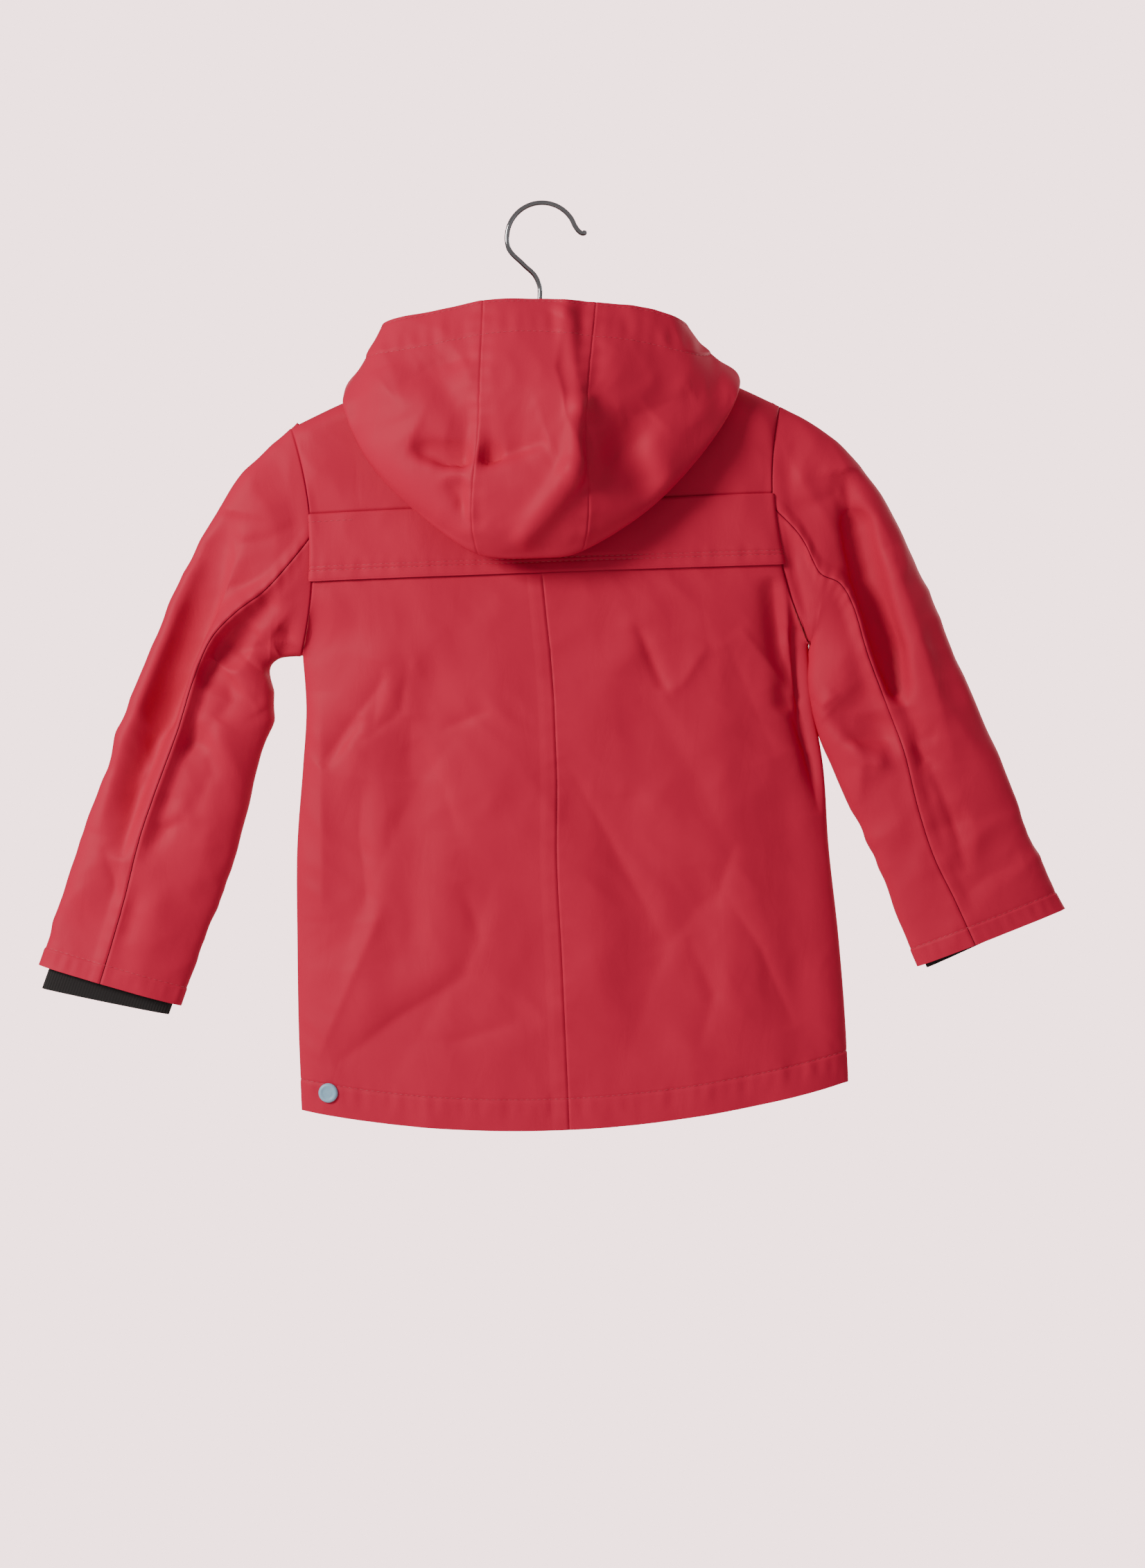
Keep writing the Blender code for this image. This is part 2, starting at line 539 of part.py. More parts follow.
def make_body():
    level_gap = SEAM_GAP / 2 / 0.35
    seam_gap = SEAM_GAP / 2 / 0.105
    side_gap = 0.0008
    centre_gap = SEAM_GAP / 2 / (0.37 * math.pi / 2)
    lower = steps(0, 17, 1, 3, FLAP_EDGE_LEVEL, 2, 2)
    yoke_levels = [3 - (1 - i / 8) ** 2 for i in range(9)]
    left = steps(0, 11, CENTRE_SEAM)
    right = steps(CENTRE_SEAM, 11, 1)
    whole = left + right[1:]
    yoke_columns = steps(0, 8, NECK_COLUMNS[0], 6, NECK_COLUMNS[1], 8, 1)
    back = body_skin(BACK)
    wall("back_left", pu_red, back, trimmed(lower, 0, seam_gap), trimmed(left, side_gap, centre_gap))
    wall("back_right", pu_red, back, trimmed(lower, 0, seam_gap), trimmed(right, centre_gap, side_gap))
    wall("back_yoke", pu_red, back, trimmed(yoke_levels, seam_gap, 0.001), trimmed(yoke_columns, side_gap, side_gap))
    flap = body_skin(BACK, *FLAP_LIFT)
    flap_levels = [level for level in lower if level >= FLAP_EDGE_LEVEL]
    wall("back_flap", pu_red, flap, flap_levels, trimmed(whole, FLAP_TRIM, FLAP_TRIM))

    front = body_skin(FRONT)
    front_levels = steps(0, 12, 1, 4, 2) + yoke_levels[1:]
    outer_left = steps(0, 8, NECK_COLUMNS[0], 4, PLACKET_EDGES[0], 1, 0.5)
    outer_right = steps(0.5, 1, PLACKET_EDGES[1], 4, NECK_COLUMNS[1], 8, 1)
    rows = trimmed(front_levels, level_gap, 0.001)
    wall("front_left", pu_red, front, rows, trimmed(outer_left, side_gap, centre_gap))
    wall("front_right", pu_red, front, rows, trimmed(outer_right, centre_gap, side_gap))
    placket = body_skin(FRONT, PLACKET_LIFT)
    placket_rows = [level for level in rows if level < PLACKET_TOP] + [PLACKET_TOP]
    wall("front_placket", pu_red, placket, placket_rows, [PLACKET_EDGES[0], 0.5, PLACKET_EDGES[1]])


def make_sleeves():
    for side, word in ((LEFT, "left"), (RIGHT, "right")):
        rings = SLEEVE_RINGS[side]
        skin = sleeve_skin(side)
        levels = SLEEVE_LEVELS

        def seam_angle(level, face):
            back = spline(range(len(rings)), [(ring.back_seam,) for ring in rings], level)[0]
            return math.acos(1 - 2 * (back if face == BACK else FRONT_SLEEVE_SEAM))

        def piece(low, high, gap):
            def at(level, share):
                start, end = low(level), high(level)
                return skin(level, lerp(start + gap, end - gap, share))

            return at

        half_gap = SEAM_GAP / 2 / 0.045
        upper = piece(lambda v: -seam_angle(v, FRONT), lambda v: seam_angle(v, BACK), half_gap)
        under = piece(lambda v: seam_angle(v, BACK), lambda v: 2 * math.pi - seam_angle(v, FRONT), half_gap)
        wall(f"sleeve_{word}_upper", pu_red, upper, levels, steps(0, 12, 1))
        wall(f"sleeve_{word}_under", pu_red, under, levels, steps(0, 8, 1))
        around = [2 * math.pi * i / 20 for i in range(20)]
        wall(f"cuff_{word}", rib_black, cuff_skin(side), steps(0, 4, 1), around, ring=True)


def make_hood():
    gap = 0.14  # degrees that leave half a seam gap beside the centre strip
    first, second = HOOD_SEAMS
    sides = steps(0, 4, 60, 5, 115, 4, first)
    left = trimmed(sides, FRONT_GAP, gap)
    centre = trimmed(steps(first, 6, second), gap, gap)
    right = trimmed([360 - turn for turn in sides[::-1]], gap, FRONT_GAP)
    for word, turns in (("left", left), ("centre", centre), ("right", right)):
        wall(f"hood_{word}", pu_red, hood_skin, HOOD_LEVELS, turns)


def make_snap(name, face, turn, level, lift):
    """A low round cap that lies on a panel, turned to its slope."""
    sign = 1 if face == BACK else -1
    normal = outward(lambda a, b: body(face, a, b), turn, level, (0, 1), (0, 3), sign)
    build = bmesh.new()
    bmesh.ops.create_cone(
        build, cap_ends=True, segments=16, radius1=SNAP_RADIUS, radius2=SNAP_RADIUS, depth=SNAP_HEIGHT
    )
    mesh = bpy.data.meshes.new(name)
    build.to_mesh(mesh)
    build.free()
    cap = add_object(name, mesh, snap_blue)
    rim = cap.modifiers.new("rounded rim", "BEVEL")
    rim.width = SNAP_ROUNDING
    rim.segments = 1
    rim.limit_method = "ANGLE"
    cap.rotation_euler = normal.to_track_quat("Z", "Y").to_euler()
    cap.location = body(face, turn, level) + normal * (lift + SEAM_GAP + SNAP_HEIGHT / 2)


def make_snaps():
    make_snap("snap_hem", BACK, HEM_SNAP[0], HEM_SNAP[1], 0)
    for number, level in enumerate(PLACKET_SNAPS, 1):
        make_snap(f"snap_front_{number}", FRONT, 0.5, level, PLACKET_LIFT + CLOTH)


def make_hook():
    """The wire runs from the bar up its stem, over the arc and out to a small ball at the tip."""
    centre = Vector((0, WIRE_RADIUS - HOOK_RADIUS))
    arc = []
    for i in range(14):
        angle = math.radians(lerp(*HOOK_ARC, i / 13))
        arc.append(centre + HOOK_RADIUS * Vector((math.cos(angle), math.sin(angle))))
    bar_top = shoulder_line(HOOK_STEM[0][0]) - CLOTH - BAR_CLEARANCE
    foot = (HOOK_STEM[0][0], bar_top + SEAM_GAP)
    route = [Vector(point) for point in (foot, *HOOK_STEM)] + arc + [Vector(point) for point in HOOK_TIP]
    curve = bpy.data.curves.new("hanger_hook", "CURVE")
    curve.dimensions = "3D"
    curve.bevel_depth = WIRE_RADIUS
    curve.bevel_resolution = 2
    curve.use_fill_caps = True
    line = curve.splines.new("POLY")
    line.points.add(len(route) - 1)
    for point, (x, z) in zip(line.points, route):
        point.co = (x, 0, z, 1)
    for point, swell in zip(reversed(line.points), (TIP_SWELL, TIP_SWELL, 1)):
        point.radius = swell
    curve.materials.append(chrome)
    hook = bpy.data.objects.new("hanger_hook", curve)
    parts.objects.link(hook)


def make_bar():
    """A flat shaped bar just under the shoulders, thick enough to round their edge."""
    curve = bpy.data.curves.new("hanger_bar", "CURVE")
    curve.dimensions = "2D"
    curve.fill_mode = "BOTH"
    curve.extrude = BAR_THICKNESS / 2 - BAR_ROUNDING
    curve.bevel_depth = BAR_ROUNDING
    curve.bevel_resolution = 1
    curve.offset = -BAR_ROUNDING
    top = []
    for i in range(21):
        x = lerp(*BAR_ENDS, i / 20)
        top.append((x, shoulder_line(x) - CLOTH - BAR_CLEARANCE))
    under = [(x, z - BAR_HEIGHT * (0.55 + 0.45 * math.sin(math.pi * i / 20))) for i, (x, z) in enumerate(top)]
    outline = top + under[::-1]
    line = curve.splines.new("POLY")
    line.points.add(len(outline) - 1)
    line.use_cyclic_u = True
    for point, (x, z) in zip(line.points, outline):
        point.co = (x, z, 0, 1)
    curve.materials.append(beech)
    bar = bpy.data.objects.new("hanger_bar", curve)
    bar.rotation_euler = (math.radians(90), 0, 0)
    parts.objects.link(bar)


for old in list(bpy.data.objects):
    bpy.data.objects.remove(old)
parts = bpy.data.collections.new("kids_rain_jacket")
bpy.context.scene.collection.children.link(parts)
pu_red = material("coated_fabric_red", (0.50, 0.030, 0.055), 0.45)
rib_black = material("rib_knit_black", (0.012, 0.010, 0.012), 0.90)
snap_blue = material("snap_blue", (0.25, 0.44, 0.62), 0.40)
chrome = material("chrome_wire", (0.80, 0.80, 0.82), 0.12, 1.0)
beech = material("beech_bar", (0.60, 0.42, 0.25), 0.50)

make_body()
make_sleeves()
make_hood()
make_snaps()
make_hook()
make_bar()
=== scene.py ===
import math

import bpy
import numpy as np
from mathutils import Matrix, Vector


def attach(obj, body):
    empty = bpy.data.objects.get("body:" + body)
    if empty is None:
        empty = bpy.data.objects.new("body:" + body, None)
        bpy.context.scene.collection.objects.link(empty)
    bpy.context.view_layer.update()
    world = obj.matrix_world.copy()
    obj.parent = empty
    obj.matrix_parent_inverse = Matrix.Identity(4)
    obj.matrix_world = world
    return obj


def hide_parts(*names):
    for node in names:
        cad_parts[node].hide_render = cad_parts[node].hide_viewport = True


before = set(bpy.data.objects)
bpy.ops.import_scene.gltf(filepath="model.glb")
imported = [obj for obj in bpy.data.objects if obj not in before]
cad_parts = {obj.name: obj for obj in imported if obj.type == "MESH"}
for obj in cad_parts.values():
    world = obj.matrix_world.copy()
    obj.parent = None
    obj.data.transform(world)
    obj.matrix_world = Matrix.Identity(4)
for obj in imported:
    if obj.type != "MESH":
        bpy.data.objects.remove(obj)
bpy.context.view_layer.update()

# Every length is in metres. The jacket's back faces -Y and it hangs from the origin.
cloth = {
    "thickness": 0.0015,
    "pressed": 0.15,  # share of the thickness left at a sewn side
    "pressedWidth": 0.007,
    "creasedLevels": 0.8,  # how far from a sharp fold the cloth is that thin too
    "seamGap": 0.0003,
    "fullness": 0.8,  # under 1, a section is fuller than an ellipse
    "gridStep": 0.0021,  # size of a face on the panels that show most
    "plainStep": 0.0045,  # and on the hidden ones
    "sideBlend": 0.002,  # how softly a fold goes over from its left width to its right one
    "taper": 0.6,  # under 1, a fold keeps its height longer before its ends
    "rollWidth": 0.0008,  # of the groove where two edges are sewn
    "rowIn": 0.0004,  # from the edge of a hem's doubled cloth in to its needle holes
    "rowDepth": -0.0006,
}


def lerp(a, b, share):
    return a + (b - a) * share


def smoothAt(knots, rows, at):
    # a smooth curve through rows at increasing knots, for a whole array of places at once
    knots = np.asarray(knots, float)
    rows = np.asarray(rows, float).reshape(len(knots), -1)
    span = np.diff(knots)
    rise = np.diff(rows, axis=0) / span[:, None]
    slope = np.empty_like(rows)
    slope[0], slope[-1] = rise[0], rise[-1]
    ahead, behind = span[1:, None], span[:-1, None]
    slope[1:-1] = (rise[:-1] * ahead + rise[1:] * behind) / (ahead + behind)
    at = np.clip(np.asarray(at, float), knots[0], knots[-1])
    i = np.clip(np.searchsorted(knots, at, side="right") - 1, 0, len(span) - 1)
    t = ((at - knots[i]) / span[i])[..., None]
    width = span[i][..., None]
    a = 2 * t**3 - 3 * t**2 + 1
    b = (t**3 - 2 * t**2 + t) * width
    d = (t**3 - t**2) * width
    return a * rows[i] + b * slope[i] + (1 - a) * rows[i + 1] + d * slope[i + 1]


def readRows(rows, at):
    # the same curve through rows whose first number is the knot
    return smoothAt([row[0] for row in rows], [row[1:] for row in rows], at)


def relief(folds, x, z):
    # soft ridges (+) and troughs (-), each along a line (x0, z0, x1, z1) with a width and a height
    total = np.zeros_like(x)
    for x0, z0, x1, z1, width, height in folds:
        alongX, alongZ = x1 - x0, z1 - z0
        share = ((x - x0) * alongX + (z - z0) * alongZ) / (alongX**2 + alongZ**2)
        share = np.clip(share, 0, 1)
        distance = np.hypot(x - x0 - share * alongX, z - z0 - share * alongZ)
        total += height * np.exp(-((distance / width) ** 2))
    return total


def strokes(lines, x, z):
    # folds along paths: a height, a width on the left and on the right of the path's direction, and a
    # sharpness (1 is a knife edge, 2 is round), tapered at both ends
    total = np.zeros_like(x)
    for height, left, right, power, *path in lines:
        path = np.array(path)
        lengths = np.linalg.norm(np.diff(path, axis=0), axis=1)
        away, side, run = np.full_like(x, np.inf), np.zeros_like(x), np.zeros_like(x)
        done = 0.0
        for (x0, z0), (x1, z1), length in zip(path[:-1], path[1:], lengths):
            alongX, alongZ = (x1 - x0) / length, (z1 - z0) / length
            along = np.clip((x - x0) * alongX + (z - z0) * alongZ, 0, length)
            distance = np.hypot(x - x0 - along * alongX, z - z0 - along * alongZ)
            nearer = distance < away
            turned = alongX * (z - z0) - alongZ * (x - x0)
            away, side = np.where(nearer, distance, away), np.where(nearer, turned, side)
            run = np.where(nearer, (done + along) / lengths.sum(), run)
            done += length
        width = lerp(right, left, 0.5 + 0.5 * np.tanh(side / cloth["sideBlend"]))
        taper = np.clip(4 * run * (1 - run), 0, 1) ** cloth["taper"]
        total += height * taper * np.exp(-((away / width) ** power))
    return total


def fadeIn(distance, reach):
    share = np.clip(distance / reach, 0, 1)
    return share * share * (3 - 2 * share)


body = {
    "hemMean": -0.6681,
    "hemTilt": 0.0214,
    "hemDrop": {"back": 0.0236, "front": 0.0120},
    "underarm": (-0.3387, -0.3298),
    "flapSeam": (-0.2331, -0.2175),
    "shoulderRounding": 0.018,
    "centreSeam": 0.493,
    "armholeTurns": 0.05,  # how far in, and how far up, the armhole's own depth is felt
    "armholeLevels": 0.45,
    "depths": (  # height, back, front
        (-0.6900, 0.024, 0.020),
        (-0.4500, 0.027, 0.024),
        (-0.3000, 0.026, 0.024),
        (-0.2000, 0.023, 0.022),
        (-0.1000, 0.020, 0.021),
    ),
    "sides": (  # height, left, right
        (-0.6900, -0.1795, 0.2305),
        (-0.6200, -0.1825, 0.2280),
        (-0.5500, -0.1836, 0.2226),
        (-0.4800, -0.1836, 0.2150),
        (-0.4200, -0.1792, 0.2108),
        (-0.3800, -0.1768, 0.2045),
        (-0.3340, -0.1798, 0.2000),
    ),
    "shoulderLine": (  # across, height
        (-0.1877, -0.1671),
        (-0.1500, -0.1490),
        (-0.1100, -0.1325),
        (-0.0700, -0.1180),
        (-0.0040, -0.0930),
        (0.0620, -0.1065),
        (0.1050, -0.1205),
        (0.1500, -0.1380),
        (0.1778, -0.1510),
    ),
    "neckX": -0.004,
    "neckHalfWidth": 0.066,
    "neckDrop": {"back": 0.012, "front": 0.060},
    "backFolds": (
        (0.172, -0.290, 0.182, -0.372, 0.008, -0.0060),
        (0.184, -0.300, 0.189, -0.366, 0.005, 0.0030),
        (-0.170, -0.290, -0.172, -0.335, 0.010, -0.0040),
        (-0.125, -0.340, -0.132, -0.600, 0.018, 0.0030),
        (-0.085, -0.360, -0.100, -0.560, 0.016, -0.0030),
        (0.060, -0.400, 0.085, -0.620, 0.022, -0.0030),
        (0.130, -0.330, 0.150, -0.600, 0.020, 0.0030),
        (0.185, -0.450, 0.195, -0.640, 0.014, -0.0030),
    ),
    "frontFolds": (
        (-0.130, -0.330, -0.120, -0.620, 0.022, -0.0035),
        (-0.070, -0.280, -0.085, -0.560, 0.020, 0.0025),
        (0.100, -0.300, 0.125, -0.600, 0.022, -0.0030),
        (0.160, -0.330, 0.180, -0.560, 0.018, 0.0025),
    ),
}
sleeve = {
    # outer x, outer z, inner x, inner z, half depth, bow, share of the way to the back seam
    "rings": (
        (
            (-0.1877, -0.1671, -0.1799, -0.3387, 0.0170, 0.0125, 0.480),
            (-0.2132, -0.1895, -0.1862, -0.3392, 0.0195, 0.0090, 0.550),
            (-0.2356, -0.2155, -0.1966, -0.3418, 0.0210, 0.0050, 0.600),
            (-0.2590, -0.2570, -0.2020, -0.3496, 0.0210, 0.0000, 0.540),
            (-0.2787, -0.2986, -0.1995, -0.3673, 0.0205, 0.0000, 0.410),
            (-0.2954, -0.3402, -0.2010, -0.3896, 0.0200, 0.0000, 0.375),
            (-0.3130, -0.3818, -0.2085, -0.4141, 0.0195, 0.0000, 0.400),
            (-0.3297, -0.4286, -0.2210, -0.4583, 0.0190, 0.0000, 0.385),
            (-0.3427, -0.4650, -0.2309, -0.4962, 0.0185, 0.0000, 0.380),
            (-0.3562, -0.5066, -0.2470, -0.5378, 0.0175, 0.0000, 0.415),
            (-0.3656, -0.5378, -0.2579, -0.5690, 0.0170, 0.0000, 0.425),
            (-0.3765, -0.5700, -0.2699, -0.6007, 0.0165, 0.0000, 0.440),
        ),
        (
            (0.1778, -0.1510, 0.2000, -0.3298, 0.0170, -0.0155, 0.430),
            (0.2028, -0.1645, 0.2003, -0.3302, 0.0195, -0.0090, 0.515),
            (0.2293, -0.1842, 0.2003, -0.3307, 0.0210, -0.0050, 0.630),
            (0.2553, -0.2154, 0.1998, -0.3318, 0.0210, 0.0000, 0.600),
            (0.2756, -0.2570, 0.1983, -0.3402, 0.0205, 0.0000, 0.560),
            (0.2938, -0.2986, 0.1992, -0.3688, 0.0200, 0.0000, 0.545),
            (0.3104, -0.3402, 0.2062, -0.3985, 0.0195, 0.0000, 0.530),
            (0.3297, -0.3818, 0.2210, -0.4312, 0.0190, 0.0000, 0.555),
            (0.3479, -0.4234, 0.2382, -0.4687, 0.0185, 0.0000, 0.620),
            (0.3630, -0.4650, 0.2538, -0.5014, 0.0175, 0.0000, 0.650),
            (0.3770, -0.4962, 0.2668, -0.5352, 0.0170, 0.0000, 0.630),
            (0.3915, -0.5280, 0.2812, -0.5712, 0.0165, 0.0000, 0.620),
        ),
    ),
    "frontSeam": 0.72,
    "folds": (
        (0.238, -0.241, 0.266, -0.361, 0.009, -0.0070),
        (0.262, -0.270, 0.292, -0.380, 0.012, 0.0030),
        (0.240, -0.375, 0.256, -0.392, 0.016, -0.0060),
        (0.222, -0.402, 0.250, -0.420, 0.008, 0.0040),
        (-0.250, -0.257, -0.289, -0.376, 0.012, -0.0050),
        (-0.225, -0.250, -0.262, -0.350, 0.012, 0.0030),
        (-0.205, -0.300, -0.232, -0.338, 0.008, -0.0050),
        (-0.215, -0.372, -0.250, -0.352, 0.008, -0.0045),
    ),
}
hood = {
    "bridge": 5.0,  # degrees of turn over which the fold is evened out
    # turn round the neck from the front centre, then the fold, the bulge and the rim as x, y, z
    "profiles": (
        (0, -0.0040, 0.0320, -0.1650, -0.0040, 0.0350, -0.1610, -0.0040, 0.0360, -0.1560),
        (30, -0.0480, 0.0300, -0.1500, -0.0535, 0.0330, -0.1440, -0.0550, 0.0310, -0.1360),
        (60, -0.0990, 0.0270, -0.1360, -0.1060, 0.0270, -0.1230, -0.0990, 0.0200, -0.1100),
        (90, -0.1440, -0.0050, -0.1435, -0.1350, -0.0120, -0.1220, -0.1170, 0.0000, -0.0960),
        (115, -0.1286, -0.0340, -0.1945, -0.1300, -0.0400, -0.1415, -0.1147, -0.0250, -0.0906),
        (140, -0.0876, -0.0460, -0.2380, -0.0885, -0.0620, -0.1593, -0.0800, -0.0380, -0.0835),
        (160, -0.0465, -0.0530, -0.2660, -0.0460, -0.0720, -0.1654, -0.0431, -0.0440, -0.0772),
        (180, -0.0006, -0.0540, -0.2686, 0.0037, -0.0760, -0.1657, 0.0019, -0.0460, -0.0761),
        (200, 0.0300, -0.0530, -0.2635, 0.0330, -0.0720, -0.1654, 0.0403, -0.0440, -0.0787),
        (220, 0.0787, -0.0460, -0.2329, 0.0732, -0.0620, -0.1593, 0.0763, -0.0380, -0.0815),
        (245, 0.1277, -0.0340, -0.1770, 0.1224, -0.0380, -0.1415, 0.1049, -0.0250, -0.0901),
        (270, 0.1445, -0.0050, -0.1325, 0.1340, -0.0120, -0.1180, 0.1080, 0.0000, -0.0950),
        (300, 0.0910, 0.0270, -0.1270, 0.0980, 0.0270, -0.1160, 0.0910, 0.0200, -0.1050),
        (330, 0.0400, 0.0300, -0.1440, 0.0455, 0.0330, -0.1390, 0.0470, 0.0310, -0.1320),
        (360, -0.0040, 0.0320, -0.1650, -0.0040, 0.0350, -0.1610, -0.0040, 0.0360, -0.1560),
    ),
    "seams": (160, 200),  # the centre strip's two seams, in degrees of turn
    "neckLift": 0.0014,
    "neckRoll": (0.006, 0.0025),
    "clearance": 0.003,
    "frontGap": 0.5,  # degrees
    "pouchFold": 0.006,
    "frontFold": 0.25,  # share of it at the front
    "foldLevel": 5,
    "evened": 6,  # how often the rows beside the fold are evened out
    "folds": (
        (0.018, -0.078, 0.030, -0.160, 0.008, 0.0050),
        (0.030, -0.160, 0.024, -0.205, 0.008, 0.0060),
        (0.024, -0.205, -0.012, -0.252, 0.008, 0.0050),
        (0.060, -0.180, 0.071, -0.210, 0.015, -0.0080),
        (-0.075, -0.135, -0.050, -0.175, 0.014, -0.0050),
        (-0.085, -0.190, -0.040, -0.192, 0.007, -0.0035),
    ),
}
shoulderTips = [rings[0][0] for rings in sleeve["rings"]]


def shoulderHeight(x):
    return readRows(body["shoulderLine"], x)[..., 0]


def neckHeight(face, x):
    # the body's upper edge: the shoulder seam, dipping to the nape or the front of the neck
    reach = (x - body["neckX"]) / body["neckHalfWidth"]
    ends = shoulderHeight(body["neckX"] + body["neckHalfWidth"] * np.array([-1, 1]))
    dipped = lerp(ends[0], ends[1], (reach + 1) / 2) - body["neckDrop"][face] * (1 - reach**2)
    return np.where(np.abs(reach) >= 1, shoulderHeight(x), dipped)


def rounding(x, z):
    # 0 on the shoulder line, 1 from a short way below it
    drop = shoulderHeight(x) - z
    return np.sqrt(1 - (1 - np.clip(drop / body["shoulderRounding"], 0, 1)) ** 2)


def fullDepth(face, z):
    return readRows(body["depths"], z)[..., 0 if face == "back" else 1]


def sideEdge(side, level):
    # across, depth and height of the body's side: the side seam, and the armhole above it
    ring = sleeve["rings"][side][0]
    hem = body["hemMean"] + body["hemTilt"] * (side - 0.5)
    stops = np.array((hem, body["underarm"][side], body["flapSeam"][side], ring[1]))
    block = np.clip(level.astype(int), 0, 2)
    z = lerp(stops[block], stops[block + 1], level - block)
    below = readRows(body["sides"], z)[..., side]
    down = (ring[1] - z) / (ring[1] - ring[3])
    spread = np.clip(4 * down * (1 - down), 0, None)
    above = lerp(ring[0], ring[2], down) + ring[5] * spread
    depth = ring[4] * np.sqrt(spread) ** cloth["fullness"]
    return np.where(level <= 1, below, above), np.where(level <= 1, 0, depth), z


def bodyPoint(face, turn, level):
    # turn runs from 0 at the left side to 1 at the right; level is 0 hem, 1 underarm, 2 flap seam, 3 shoulder
    turn, level = np.broadcast_arrays(np.asarray(turn, float), np.asarray(level, float))
    across = (1 - np.cos(np.pi * turn)) / 2
    left, right = sideEdge(0, level), sideEdge(1, level)
    x = lerp(left[0], right[0], across)
    hem = body["hemMean"] + body["hemTilt"] * (across - 0.5)
    hem = hem - body["hemDrop"][face] * 4 * across * (1 - across)
    top = neckHeight(face, lerp(*shoulderTips, across))
    stops = np.stack((hem, lerp(*body["underarm"], across), lerp(*body["flapSeam"], across), top))
    block = np.clip(level.astype(int), 0, 2)
    low = np.take_along_axis(stops, block[None], 0)[0]
    high = np.take_along_axis(stops, block[None] + 1, 0)[0]
    z = lerp(low, high, level - block)
    swell = np.clip(np.sin(np.pi * turn), 0, None) ** cloth["fullness"]
    rounded = rounding(x, z)
    # the armhole's sudden depth fades within a short way of the side
    beside = np.exp(-((np.minimum(turn, 1 - turn) / body["armholeTurns"]) ** 2))
    edge = lerp(left[1], right[1], across) * lerp(fadeIn(level - 1, body["armholeLevels"]), 1, beside)
    depth = lerp(edge, fullDepth(face, z) * rounded, swell)
    depth = depth + relief(body[face + "Folds"], x, z) * swell * rounded
    return np.stack((x, depth * (-1 if face == "back" else 1), z), -1)


def sleevePoint(side, level, angle):
    # angle is 0 at the outer edge, a quarter turn on the back, half a turn at the inner edge
    rings = sleeve["rings"][side]
    ring = smoothAt(range(len(rings)), rings, level)
    outerX, outerZ, innerX, innerZ, halfDepth, bow, _ = np.moveaxis(ring, -1, 0)
    across = (1 - np.cos(angle)) / 2
    x = lerp(outerX, innerX, across) + bow * 4 * across * (1 - across)
    x = x + (cloth["seamGap"] if side else -cloth["seamGap"])
    z = lerp(outerZ, innerZ, across)
    swell = np.sin(angle)
    depth = np.sign(swell) * np.abs(swell) ** cloth["fullness"] * halfDepth
    depth = depth + relief(sleeve["folds"], x, z) * np.clip(swell, 0, 1) * np.clip(level, 0, 1)
    return np.stack((x, -depth, z), -1)


def clearOfBody(points, layer=0.0):
    # points of the hood pushed out until they lie over the body by the clearance and by a layer of cloth
    below = points[:, 2] - hood["clearance"]
    across = np.clip((points[:, 0] - shoulderTips[0]) / (shoulderTips[1] - shoulderTips[0]), 0, 1)
    swell = np.sqrt(4 * across * (1 - across)) ** cloth["fullness"]
    rounded = rounding(points[:, 0], below)
    edge = sleeve["rings"][0][0][4] * rounded
    front = points[:, 1] > 0
    full = np.where(front, fullDepth("front", points[:, 2]), fullDepth("back", points[:, 2]))
    depth = lerp(edge, full * rounded, swell) + hood["clearance"] + layer
    moved = np.where(front, 1, -1) * np.maximum(np.abs(points[:, 1]), depth)
    out = points.copy()
    out[:, 1] = np.where(shoulderHeight(points[:, 0]) <= below, points[:, 1], moved)
    return out


